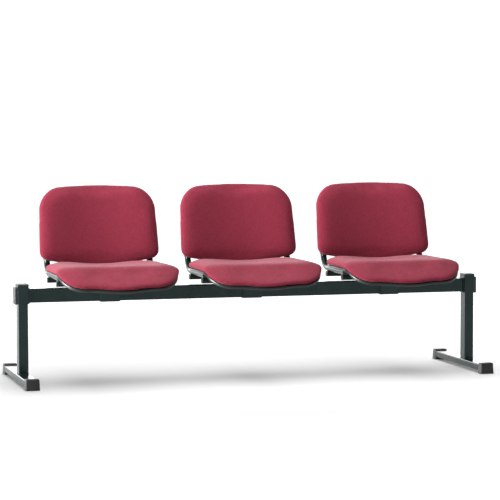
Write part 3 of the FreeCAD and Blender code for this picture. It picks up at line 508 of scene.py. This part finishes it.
def coordinates(mesh, what="vertices", field="co"):
    values = np.empty(len(mesh.vertices) * 3, np.float32)
    getattr(mesh, what).foreach_get(field, values)
    return values.reshape(-1, 3).astype(float)


def evened(values, edges, times):
    # over and over, each value becomes the mean of itself and its neighbours' mean
    a, b = edges.T
    beside = np.bincount(edges.ravel(), minlength=len(values))
    for turn in range(times):
        total = np.bincount(a, values[b], len(values)) + np.bincount(b, values[a], len(values))
        values = (values + total / beside) / 2
    return values


def inflated(name, points, faces, held):
    # remeshed evenly and blown up as cloth with its underside held; each point then moves only outwards, by its
    # movement along its normal, m, evened out and limited to most * tanh(m / most)
    work = bpy.data.objects.new(name + "Work", asMesh(name + "Work", points, faces))
    scene.collection.objects.link(work)
    remesh = work.modifiers.new("even", "REMESH")
    remesh.mode, remesh.voxel_size = "VOXEL", padding["voxel"] * 0.001
    evenOut = work.modifiers.new("soften", "SMOOTH")
    evenOut.factor, evenOut.iterations = 0.5, padding["smoothing"]
    work.data = settled(work)
    start = coordinates(work.data)
    group = work.vertex_groups.new(name="held")
    group.add(np.nonzero(held(start * 1000))[0].tolist(), 1.0, "REPLACE")
    skin = work.modifiers.new("skin", "CLOTH")
    skin.settings.quality = padding["quality"]
    skin.settings.mass = padding["mass"]
    skin.settings.tension_stiffness = skin.settings.compression_stiffness = padding["tension"]
    skin.settings.shear_stiffness = padding["shear"]
    skin.settings.bending_stiffness = padding["bending"]
    skin.settings.use_pressure = True
    skin.settings.uniform_pressure_force = padding["pressure"]
    skin.settings.vertex_group_mass = "held"
    skin.settings.effector_weights.gravity = 0
    skin.collision_settings.use_collision = False
    for number in range(1, padding["frames"] + 1):
        scene.frame_set(number)
    swollen = coordinates(settled(work))
    outward = coordinates(work.data, "vertex_normals", "vector")
    length = np.maximum(np.einsum("ij,ij->i", swollen - start, outward) * 1000, 0)
    print(name, "swelled", round(float(length.mean()), 2), "mm on average,", round(float(length.max()), 2), "at most")
    edges = np.empty(len(work.data.edges) * 2, np.int32)
    work.data.edges.foreach_get("vertices", edges)
    length = evened(length, edges.reshape(-1, 2), padding["evening"])
    most = padding["atMost"]
    moved = outward * (most * np.tanh(length / most))[:, None]
    work.data.vertices.foreach_set("co", (start + moved * 0.001).astype(np.float32).ravel())
    again = work.modifiers.new("evenAgain", "SMOOTH")
    again.factor, again.iterations = 0.5, padding["smoothingAfter"]
    finer = work.modifiers.new("finer", "SUBSURF")
    finer.levels = finer.render_levels = 1
    mesh = settled(work)
    bpy.data.objects.remove(work)
    scene.frame_set(1)
    return mesh


def clothMap(mesh, local, depth, wear):
    # the weave runs over the top and down the sides: u = x + nx * depth, v = y + ny * depth, depth below the top
    normals = coordinates(mesh, "vertex_normals", "vector")
    flat = local[:, :2] + normals[:, :2] * depth[:, None]
    corner = np.empty(len(mesh.loops), np.int32)
    mesh.loops.foreach_get("vertex_index", corner)
    layer = mesh.uv_layers.new(name="cloth")
    layer.data.foreach_set("uv", (flat[corner] * 0.001).astype(np.float32).ravel())
    rubbed = mesh.attributes.new("wear", "FLOAT", "POINT")
    rubbed.data.foreach_set("value", wear.astype(np.float32))


def softened(points, seed, amount):
    # each cushion has settled differently: three slow waves of seeded direction and phase
    draw = np.random.default_rng(seed)
    drift = np.zeros(len(points))
    slowest = 0.012  # radians to a millimetre
    for size in (slowest, 0.02, 0.031):
        way = draw.normal(size=2)
        way /= np.linalg.norm(way)
        drift += amount * slowest / size * np.sin(points[:, :2] @ way * size + draw.uniform(0, 6.28))
    return drift


def wearOf(form, local, top):
    # rubbed a little all over, more in the middle of a seat's front edge and along a back's top
    edge = ease((local[:, 1] - form["wearFrom"]) / form["wearRun"])
    near = 1 - ease((np.abs(local[:, 0]) - form["wearHalf"]) / form["wearFade"])
    return form["wearMore"] * edge * near * top + form["wear"] * top


def addCushion(name, node, skin, form, number, depthOf, toRoom, flipped):
    # a copy of the shared skin, settled in its own way, with weave and wear, moved into the room
    mesh = skin.copy()
    local = coordinates(mesh) * 1000
    depth = np.maximum(depthOf(local), 0)
    top = ease(1 - depth / padding["rolled"])
    local[:, 2] += softened(local, form["seed"] + number, form["drift"]) * top
    clothMap(mesh, local, depth, wearOf(form, local, top))
    mesh.vertices.foreach_set("co", (toRoom(local) * 0.001).astype(np.float32).ravel())
    if flipped:
        mesh.flip_normals()
    piece = addPiece(name, mesh, finish["fabric"], [node], 0)


def backUnder(x, u):
    return bow(x) + back["rear"]


seatLine = seatOutline(seat)
backLine = backOutline(back)
swell = padding["swell"]
grow, within = swell * padding["sideShare"], padding["heldWithin"]
seatForm = cushionForm(seat, seatLine, seatLow, lambda x, y: seatHigh(x, y) - swell, grow)
backForm = cushionForm(back, backLine, backUnder, lambda x, u: backFront(x, u) + swell * padding["backShare"], grow)
seatMesh = inflated("seat", *seatForm, lambda p: p[:, 2] < seatLow(p[:, 0], p[:, 1]) + within)
backMesh = inflated("back", *backForm, lambda p: p[:, 2] > backUnder(p[:, 0], p[:, 1]) - within)
print("cushions filled")

for number, (side, seatX) in enumerate(seatMiddle.items()):
    addCushion(side + "SeatCushion", side + "_seat_cushion", seatMesh, seat, number,
               lambda p: seatHigh(p[:, 0], p[:, 1]) - p[:, 2], lambda p: placed(p, seatX), False)
    addCushion(side + "BackCushion", side + "_back_cushion", backMesh, back, number,
               lambda p: p[:, 2] - backFront(p[:, 0], p[:, 1]), lambda p: leaned(p, seatX), True)
print("cushions covered")

sideTube = {"x": 205.5, "radius": 12.5, "level": 405.5, "start": -86.0, "bend": 65.0, "rise": 218.0, "plane": 7.5}
# plug in a tube's open front end: radius and depth behind the end, from inside to the domed middle
tubePlug = [(9.0, 4.0), (12.3, 4.0), (12.3, 1.4), (11.6, 0.4), (8.0, -0.2), (3.0, -0.4)]


def tubeLine(tube):
    # level run, bend and rise in the plane of the lean, as points (y, z) of the middle line
    lean = math.radians(back["lean"])
    turn = math.pi / 2 - lean
    lineY = back["place"][0] + tube["plane"] * math.cos(lean)
    lineZ = back["place"][1] - tube["plane"] * math.sin(lean)
    endZ = tube["level"] + tube["bend"] * (1 - math.cos(turn))
    endY = lineY + (endZ - lineZ) * math.tan(lean)
    bendY = endY - tube["bend"] * math.sin(turn)
    run = np.stack([np.linspace(tube["start"] + 1.5, bendY, 14), np.full(14, tube["level"])], axis=1)
    a = np.linspace(0, turn, 26)[1:]
    arc = np.stack([bendY + tube["bend"] * np.sin(a), tube["level"] + tube["bend"] * (1 - np.cos(a))], axis=1)
    t = np.linspace(0, tube["rise"], 12)[1:, None]
    return np.vstack([run, arc, arc[-1] + t * [math.sin(lean), math.cos(lean)]])


def swept(path, radius, around=40):
    # circles of the given radii square to a path: tangent from its neighbours, one side square to a fixed guide
    path = np.asarray(path, float)
    radius = np.broadcast_to(np.asarray(radius, float), len(path))
    along = np.gradient(path, axis=0)
    along /= np.linalg.norm(along, axis=1)[:, None]
    guide = np.array([1.0, 0.0, 0.0]) if abs(along[0, 0]) < 0.7 else np.array([0.0, 0.0, 1.0])
    first = np.cross(along, guide)
    first /= np.linalg.norm(first, axis=1)[:, None]
    second = np.cross(along, first)
    a = np.linspace(0, 2 * math.pi, around, endpoint=False)
    circle = np.cos(a)[None, :, None] * first[:, None] + np.sin(a)[None, :, None] * second[:, None]
    rings = path[:, None] + circle * radius[:, None, None]
    return ringFaces(rings, path[0], path[-1])


def plugForm(profile, x, y, z):
    # circles about a tube's middle line, with a pole at either end
    a = np.linspace(0, 2 * math.pi, 40, endpoint=False)
    rings = np.array([np.column_stack([x + r * np.cos(a), np.full(40, y + d), z + r * np.sin(a)]) for r, d in profile])
    return outwards(*ringFaces(rings, [x, y + profile[0][1], z], [x, y + profile[-1][1], z]))


def roundedBlock(half, corner, rows):
    # rounded rectangles by rows of (inset, height): corner signs times the straight half sizes, plus the unit circle
    # times the corner's radius; poles close the ends
    around = 64
    a = np.linspace(0, 2 * math.pi, around, endpoint=False) + math.pi / around
    quarter = np.floor(a / (math.pi / 2)) * (math.pi / 2) + math.pi / 4
    sign = np.sign(np.stack([np.cos(quarter), np.sin(quarter)], axis=1))
    bend = np.stack([np.cos(a), np.sin(a)], axis=1)
    rings = []
    for inset, height in rows:
        rounding = max(corner - inset, 0.15)
        size = np.array(half) - inset
        rings.append(np.column_stack([sign * (size - rounding) + bend * rounding, np.full(around, height)]))
    return ringFaces(np.array(rings), [0, 0, rows[0][1]], [0, 0, rows[-1][1]])


# seat pans, back covers, side tubes
pan = {"skin": 2.5, "inset": 5.0, "wall": 3.2, "lip": 8.5, "lipFront": 3.0, "gap": 0.6, "round": 1.5, "clear": 0.9}
cover = {"inset": 5.0, "wall": 3.0, "front": 13.3, "rear": 42.4, "draft": 4.0, "round": 10.0, "notch": 13.6, "notchTop": 60}


def nearTubes(points):
    # more points where a rim passes a side tube: 1 + 6 * exp(-(distance / 22 mm)^2)
    return 1 + 6 * np.exp(-((np.abs(points[:, 0]) - sideTube["x"]) / 22) ** 2)


def panForm(pan):
    # top skin, outer wall down to a rounded lip, inner wall up and the skin's underside; the lip stops short of a tube
    line = evenly(seatLine, 420, nearTubes)
    centre = np.array(seat["middle"])

    def top(x, y):
        return seatLow(x, y) - pan["gap"]

    def lipEnd(x, y):
        low = top(x, y) - pan["lip"] - pan["lipFront"] * ease((-100 - y) / 120)
        aside = np.abs(x) - sideTube["x"]
        room = sideTube["radius"] + pan["clear"]
        tube = sideTube["level"] + np.sqrt(np.maximum(room ** 2 - aside ** 2, 0))
        tube = np.where((np.abs(aside) < room) & (y > sideTube["start"] - 4), tube, 0)
        return np.minimum(np.maximum(low, tube), top(x, y) - pan["skin"] - 0.1)

    def between(share):
        return lambda x, y: top(x, y) + (lipEnd(x, y) - top(x, y)) * share

    def below(amount):
        return lambda x, y: np.minimum(lipEnd(x, y) + amount, top(x, y) - pan["skin"])

    inset, wall, r = pan["inset"], pan["wall"], pan["round"]
    rows = [(inset + 1.2, s, top) for s in np.linspace(0.05, 1, 18)]
    rows += [(inset + 0.4, 1, lambda x, y: top(x, y) - 0.35), (inset, 1, lambda x, y: top(x, y) - 1.1)]
    rows += [(inset, 1, between(0.5)), (inset, 1, below(r))]
    bend = np.linspace(0, math.pi / 2, 5)[1:]
    rows += [(inset + r * (1 - math.cos(a)), 1, below(r * (1 - math.sin(a)))) for a in bend]
    rows += [(inset + wall, 1, below(0.8)), (inset + wall, 1, lambda x, y: top(x, y) - pan["skin"] - 0.05)]
    rows += [(inset + wall + 1, s, lambda x, y: top(x, y) - pan["skin"]) for s in np.linspace(1, 0.05, 18)]
    rings = stacked(line, centre, rows)
    return ringFaces(rings, [*centre, top(*centre)], [*centre, top(*centre) - pan["skin"]])


def coverForm(cover):
    # rear skin, large rounded edge, side wall with room for the tubes at its foot, and the same set in by the wall
    line = evenly(backLine, 460, nearTubes)
    centre = np.array(back["middle"])

    def rear(x, u):
        return bow(x) + cover["rear"]

    def front(x, u):
        aside = np.abs(x) - sideTube["x"]
        room = cover["notch"]
        behind = sideTube["plane"] + np.sqrt(np.maximum(room ** 2 - aside ** 2, 0))
        edge = bow(x) + cover["front"]
        return np.where((np.abs(aside) < room) & (u < cover["notchTop"]), np.maximum(edge, behind), edge)

    def at(t, drop):
        return lambda x, u: np.maximum(front(x, u) + 0.4, front(x, u) + (rear(x, u) - drop - front(x, u)) * t)

    def wallRows(start, drop, shares):
        # a drafted quarter ellipse: moved in by draft * t + round * (1 - sqrt(1 - t^2)) at the share t of the depth
        reach = [start + cover["draft"] * t + cover["round"] * (1 - math.sqrt(1 - t * t)) for t in shares]
        return [(inwards, 1, at(t, drop)) for inwards, t in zip(reach, shares)]

    inset, wall = cover["inset"], cover["wall"]
    shares = np.sin(np.linspace(0.03, math.pi / 2, 12))
    full = inset + cover["draft"] + cover["round"]
    rows = [(full, s, rear) for s in np.linspace(0.05, 1, 18)[:-1]]
    rows += wallRows(inset, 0.0, shares[::-1])
    rows += [(inset + 0.6, 1, front), (inset + wall - 0.6, 1, front)]
    rows += wallRows(inset + wall, wall, shares)
    rows += [(full + wall, s, lambda x, u: rear(x, u) - wall) for s in np.linspace(1, 0.05, 16)[1:]]
    rings = stacked(line, centre, rows)
    return ringFaces(rings, [*centre, rear(*centre)], [*centre, rear(*centre) - wall])


panPoints, panFaces = outwards(*panForm(pan))
coverPoints, coverFaces = coverForm(cover)
spine = tubeLine(sideTube)
for side, seatX in seatMiddle.items():
    mesh = asMesh("pan", placed(panPoints, seatX), panFaces)
    addPiece(side + "SeatPan", mesh, finish["pan"], [side + "_seat_shell"])
    mesh = asMesh("cover", *outwards(leaned(coverPoints, seatX), coverFaces))
    addPiece(side + "BackCover", mesh, finish["pan"], [side + "_back_shell"])
    for hand, sign in (("Left", -1), ("Right", 1)):
        x = seatX + sign * sideTube["x"]
        path = np.column_stack([np.full(len(spine), x), spine[:, 0] + beamY, spine[:, 1]])
        mesh = asMesh("tube", *outwards(*swept(path, sideTube["radius"])))
        addPiece(side + "SideTube" + hand, mesh, finish["paint"], [side + "_side_tube_" + hand.lower()])
        mesh = asMesh("plug", *plugForm(tubePlug, x, sideTube["start"] + beamY, sideTube["level"]))
        addPiece(side + "TubePlug" + hand, mesh, finish["moulded"])
print("pans, covers and tubes made")

leg = {"x": 903.5, "half": (18.5, 25.0), "weldLevel": 36.8, "screwLevels": (324, 348), "screwY": 27.4}
# foot caps: sizes and the middle of the front and the rear one from the beam's middle
footCap = {"half": (28.5, 17.5), "corner": 7.0, "height": 43.0, "draft": 3.3, "foot": 1.6, "top": 5.0,
           "front": -203.5, "rear": 300.5}


def footCapForm(cap):
    # a drafted block: rounded foot edge, walls leaning in with the height, a quarter circle over to the top
    lean = math.tan(math.radians(cap["draft"]))
    t = np.linspace(0, math.pi / 2, 5)
    rows = [(cap["foot"] * (1 - math.sin(a)), cap["foot"] * (1 - math.cos(a))) for a in t]
    levels = np.linspace(cap["foot"] + 1, cap["height"] - cap["top"], 8)
    rows += [(h * lean, h) for h in levels]
    base = levels[-1] * lean
    over = np.linspace(0, math.pi / 2, 8)[1:]
    rows += [(base + cap["top"] * (1 - math.cos(a)), levels[-1] + cap["top"] * math.sin(a)) for a in over]
    rows += [(base + cap["top"] + extra, cap["height"]) for extra in (2.0, 5.0)]
    return roundedBlock(cap["half"], cap["corner"], rows)


capPoints, capFaces = outwards(*footCapForm(footCap))
for side, x in (("left", -leg["x"]), ("right", leg["x"])):
    for end in ("front", "rear"):
        mesh = asMesh("footCap", capPoints + np.array([x, footCap[end] + beamY, 0.0]), capFaces)
        node = "foot_cap_%s_%s" % (end, side)
        addPiece(side + "FootCap" + end.capitalize(), mesh, finish["moulded"], [node])

# clamp plate under the beam: sheet bent down, across and up, with a flange on each side
strap = {"half": 38.0, "sheet": 3.5, "bend": 4.5, "edge": 0.7,
         "line": [(-42, 367), (-17.9, 367), (-17.9, 307.25), (17.9, 307.25), (17.9, 367), (42, 367)]}


def bentLine(corners, radius):
    # straight runs joined by arcs of the bend radius at each corner
    corners = np.array(corners, float)
    line = [corners[:1]]
    for before, corner, after in zip(corners[:-2], corners[1:-1], corners[2:]):
        a, b = ((other - corner) / np.linalg.norm(other - corner) for other in (before, after))
        half = math.acos(float(np.clip(a @ b, -1, 1))) / 2
        start, reach = corner + a * radius / math.tan(half), radius / math.sin(half)
        centre = corner + (a + b) / np.linalg.norm(a + b) * reach
        stop = corner + b * radius / math.tan(half)
        t = np.linspace(0, 1, 7)[:, None]
        chord = start * (1 - t) + stop * t - centre
        line.append(centre + chord / np.linalg.norm(chord, axis=1)[:, None] * radius)
    line.append(corners[-1:])
    return np.vstack(line)


def sheetForm(line, half, thick, edge):
    # the middle line offset by half the sheet to both sides, drawn out along X with chamfered ends
    along = np.gradient(line, axis=0)
    along /= np.linalg.norm(along, axis=1)[:, None]
    side = np.stack([-along[:, 1], along[:, 0]], axis=1)
    rings = []
    for x, less in ((-half, edge), (-half + edge, 0), (half - edge, 0), (half, edge)):
        reach = line.copy()
        reach[0] += along[0] * less
        reach[-1] -= along[-1] * less
        loop = np.vstack([reach + side * (thick / 2 - less), (reach - side * (thick / 2 - less))[::-1]])
        rings.append(np.column_stack([np.full(len(loop), x), loop]))
    rings = np.array(rings)
    points, faces = ringFaces(rings)
    around = rings.shape[1]
    faces.append(list(range(around))[::-1])
    faces.append(list(range(3 * around, 4 * around)))
    return points, faces


def turned(profile):
    # a profile of (radius, height, kind) turned about Z: kind 0 is round, 1 a hexagon, r / cos(angle to the flat),
    # and 2 a hexagon cut off at 1.1 r
    around = 36
    a = np.linspace(0, 2 * math.pi, around, endpoint=False)
    flat = (a + math.pi / 6) % (math.pi / 3) - math.pi / 6
    rings = []
    for radius, height, kind in profile:
        reach = radius / np.cos(flat) if kind else np.full(around, radius)
        if kind == 2:
            reach = np.minimum(reach, radius * 1.10)
        rings.append(np.column_stack([reach * np.cos(a), reach * np.sin(a), np.full(around, height)]))
    return ringFaces(np.array(rings), [0, 0, profile[0][1]], [0, 0, profile[-1][1]])


hexHead = [(6.5, 0, 0), (6.5, 0.05, 1), (6.5, 4.2, 1), (6.4, 5.0, 2), (5.9, 5.3, 0), (3.0, 5.3, 0)]
washer = [(4.5, 0, 0), (11.6, 0, 0), (12.0, 0.3, 0), (12.0, 1.3, 0), (11.6, 1.6, 0), (4.5, 1.6, 0)]
nut = [(6.0, 0, 0), (6.5, 0.5, 1), (6.5, 5.8, 1), (6.0, 6.4, 2), (4.4, 6.4, 0), (4.0, 6.0, 0)]
threadEnd = [(4.0, 5.0, 0), (4.0, 8.2, 0), (3.5, 9.0, 0), (1.5, 9.0, 0)]
buttonHead = [(5.0, -0.2, 0), (6.9, 0, 0), (6.9, 0.6, 0), (6.3, 2.0, 0), (5.0, 3.1, 0), (3.4, 3.6, 0),
              (2.7, 3.6, 1), (2.6, 3.2, 1), (2.5, 1.2, 1), (1.2, 1.0, 0)]
panHead = [(5.5, -0.2, 0), (7.5, 0, 0), (7.5, 0.7, 0), (6.2, 2.0, 0), (4.0, 2.9, 0), (2.2, 3.1, 0)]


def stood(profile, spot, axis):
    # a profile turned and stood on a spot, looking up, down or to the rear
    points, faces = turned(profile)
    x, y, z = points.T
    looks = {"up": (x, y, z), "down": (x, -y, -z), "rear": (x, z, -y)}[axis]
    return np.stack(looks, axis=1) + np.array(spot, float), faces


def weldBead(path, radius):
    # a bead laid in overlapping drops: radius * (0.8 + 0.2 |sin(pi * run / pitch)|), with rounded ends
    pitch = 3.4
    path = np.asarray(path, float)
    step = np.concatenate([[0], np.cumsum(np.linalg.norm(np.diff(path, axis=0), axis=1))])
    spots = np.linspace(0, step[-1], max(int(step[-1] / 0.55), 12))
    line = np.stack([np.interp(spots, step, path[:, i]) for i in range(3)], axis=1)
    ripple = 0.8 + 0.2 * np.abs(np.sin(math.pi * spots / pitch))
    taper = np.sqrt(np.clip(np.minimum(spots, step[-1] - spots) / (1.6 * radius), 0.03, 1))
    return swept(line, radius * ripple * taper, 10)


# clamp bolts and pad screws from the seat's middle, with the levels of their parts
bolt = {"x": 20, "y": 33, "underPlate": 365.2, "underWasher": 363.6, "overFlange": 373, "overWasher": 374.6}
padScrew = {"x": 78, "y": (-75, 120), "level": 373}
# welds of the side tubes on the crossbars and of these on the saddle
tubeWeld = {"y": (-75, 120), "aside": 6.3, "half": 9.5, "level": 393.6, "radius": 2.3}
saddleWeld = {"y": (-64, 109), "x": (-36, 20), "run": 16, "level": 373.4, "radius": 2.2}


def boltAt(x, y):
    # head and washer under the plate, washer, nut and thread end on top of it
    return [stood(washer, (x, y, bolt["underPlate"]), "down"), stood(hexHead, (x, y, bolt["underWasher"]), "down"),
            stood(washer, (x, y, bolt["overFlange"]), "up"), stood(nut, (x, y, bolt["overWasher"]), "up"),
            stood(threadEnd, (x, y, bolt["overWasher"]), "up")]


def frameWelds(seatX):
    welds = []
    for x in (-sideTube["x"], sideTube["x"]):
        for y in tubeWeld["y"]:
            for out in (-tubeWeld["aside"], tubeWeld["aside"]):
                ends = [(seatX + x + out, beamY + y + end * tubeWeld["half"], tubeWeld["level"]) for end in (-1, 1)]
                welds.append(weldBead(ends, tubeWeld["radius"]))
    for y in saddleWeld["y"]:
        for edge in saddleWeld["x"]:
            ends = [(seatX + edge + run, beamY + y, saddleWeld["level"]) for run in (0, saddleWeld["run"])]
            welds.append(weldBead(ends, saddleWeld["radius"]))
    return welds


strapLine = bentLine(strap["line"], strap["bend"])
strapPoints, strapFaces = outwards(*sheetForm(strapLine, strap["half"], strap["sheet"], strap["edge"]))
for side, seatX in seatMiddle.items():
    mesh = asMesh("plate", placed(strapPoints, seatX), strapFaces)
    addPiece(side + "ClampPlate", mesh, finish["paint"], [side + "_clamp_strap"], 30)
    spots = [(seatX + x, beamY + y) for x in (-bolt["x"], bolt["x"]) for y in (-bolt["y"], bolt["y"])]
    mesh = asMesh("bolts", *joined([form for spot in spots for form in boltAt(*spot)]))
    addPiece(side + "ClampBolts", mesh, finish["zinc"])
    spots = [(seatX + x, beamY + y, padScrew["level"]) for x in (-padScrew["x"], padScrew["x"]) for y in padScrew["y"]]
    mesh = asMesh("screws", *joined([stood(panHead, spot, "down") for spot in spots]))
    addPiece(side + "PadScrews", mesh, finish["zinc"])
    addPiece(side + "FrameWelds", asMesh("welds", *joined(frameWelds(seatX))), finish["paint"])

for side, x in (("left", -leg["x"]), ("right", leg["x"])):
    screws = [stood(buttonHead, (x, beamY + leg["screwY"], z), "rear") for z in leg["screwLevels"]]
    addPiece(side + "LegScrews", asMesh("legScrews", *joined(screws)), finish["zinc"])
    across, deep = leg["half"]
    base = [(-across, -deep), (across, -deep), (across, deep), (-across, deep), (-across, -deep)]
    corners = [(x + a[0], beamY + a[1], leg["weldLevel"]) for a in base]
    welds = [weldBead(ends, 2.5) for ends in zip(corners[:-1], corners[1:])]
    addPiece(side + "LegWeld", asMesh("legWeld", *joined(welds)), finish["paint"])
print("caps, clamps, bolts and welds made")

# finishes of the CAD nodes that keep their shape; the rest is painted steel
kept = {"seat_board": "plywood", "back_board": "plywood", "cap": "moulded", "plug": "moulded"}
for name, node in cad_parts.items():
    chosen = next((value for key, value in kept.items() if key in name), "paint")
    if not node.material_slots:
        node.data.materials.append(finish[chosen])
    for slotted in node.material_slots:
        slotted.material = finish[chosen]
print("frame finished")

# glow and glowFrom set the floor's painted light, by distance from the seats
studio = {"sky": 0.045, "backdrop": 4.4, "keyPower": 1750.0, "keySize": (3.0, 2.4), "keyPlace": (-7.0, -1.2, 1.9),
          "topPower": 108.0, "topSize": (3.4, 2.8), "topPlace": (0.1, 0.0, 2.8), "paper": 0.8,
          "glow": (0.13, 0.85), "glowFrom": (1.1, 2.9)}


def addFloor():
    mesh = bpy.data.meshes.new("floor")
    mesh.from_pydata([(-30, -30, 0), (30, -30, 0), (30, 60, 0), (-30, 60, 0)], [], [(0, 1, 2, 3)])
    mesh.materials.append(floorPaper(studio))
    floor = bpy.data.objects.new("floor", mesh)
    scene.collection.objects.link(floor)
    return floor


def addSoftbox(name, place, target, size, power):
    light = bpy.data.lights.new(name, "AREA")
    light.shape, light.size, light.size_y, light.energy = "RECTANGLE", size[0], size[1], power
    lamp = bpy.data.objects.new(name, light)
    scene.collection.objects.link(lamp)
    away = np.array(place, float) - target
    away /= np.linalg.norm(away)
    guide = np.array([0.0, 0.0, 1.0]) if abs(away[2]) < 0.95 else np.array([0.0, 1.0, 0.0])
    right = np.cross(guide, away)
    right /= np.linalg.norm(right)
    turn = np.eye(4)
    turn[:3, 0], turn[:3, 1], turn[:3, 2], turn[:3, 3] = right, np.cross(away, right), away, place
    lamp.matrix_world = Matrix(turn.tolist())
    return lamp


def addSky(sky, backdrop):
    # even white light, brighter from the backdrop behind the seats; plain white to the eye
    world = bpy.data.worlds.new("studio")
    scene.world = world
    world.use_nodes = True
    tree = world.node_tree
    shine = tree.nodes["Background"]
    way = add(tree, "SeparateXYZ", None, Vector=add(tree, "TexCoord").outputs["Generated"])
    behind = spread(tree, way.outputs[1], 0.0, 1.0, 0.35, 0.75)
    low = spread(tree, way.outputs[2], 1.0, 0.0, 0.25, 0.6)
    panel = calc(tree, "MULTIPLY", calc(tree, "MULTIPLY", behind, low), backdrop)
    seen = calc(tree, "MULTIPLY", add(tree, "LightPath").outputs["Is Camera Ray"], 1.2)
    tree.links.new(calc(tree, "MAXIMUM", calc(tree, "ADD", panel, sky), seen), shine.inputs["Strength"])
    shine.inputs["Color"].default_value = (1, 1, 1, 1)


floor = addFloor()
key = addSoftbox("key", studio["keyPlace"], np.array([0.0, 0.0, 0.45]), studio["keySize"], studio["keyPower"])
addSoftbox("above", studio["topPlace"], np.array([0.2, 0.3, 0.0]), studio["topSize"], studio["topPower"])
addSky(studio["sky"], studio["backdrop"])
shaded = bpy.data.collections.new("keptOffTheFloor")  # the side light is flagged off the paper
shaded.objects.link(floor)
key.light_linking.receiver_collection = shaded
shaded.collection_objects[0].light_linking.link_state = "EXCLUDE"
scene.view_settings.view_transform = "Standard"
print("studio lit")

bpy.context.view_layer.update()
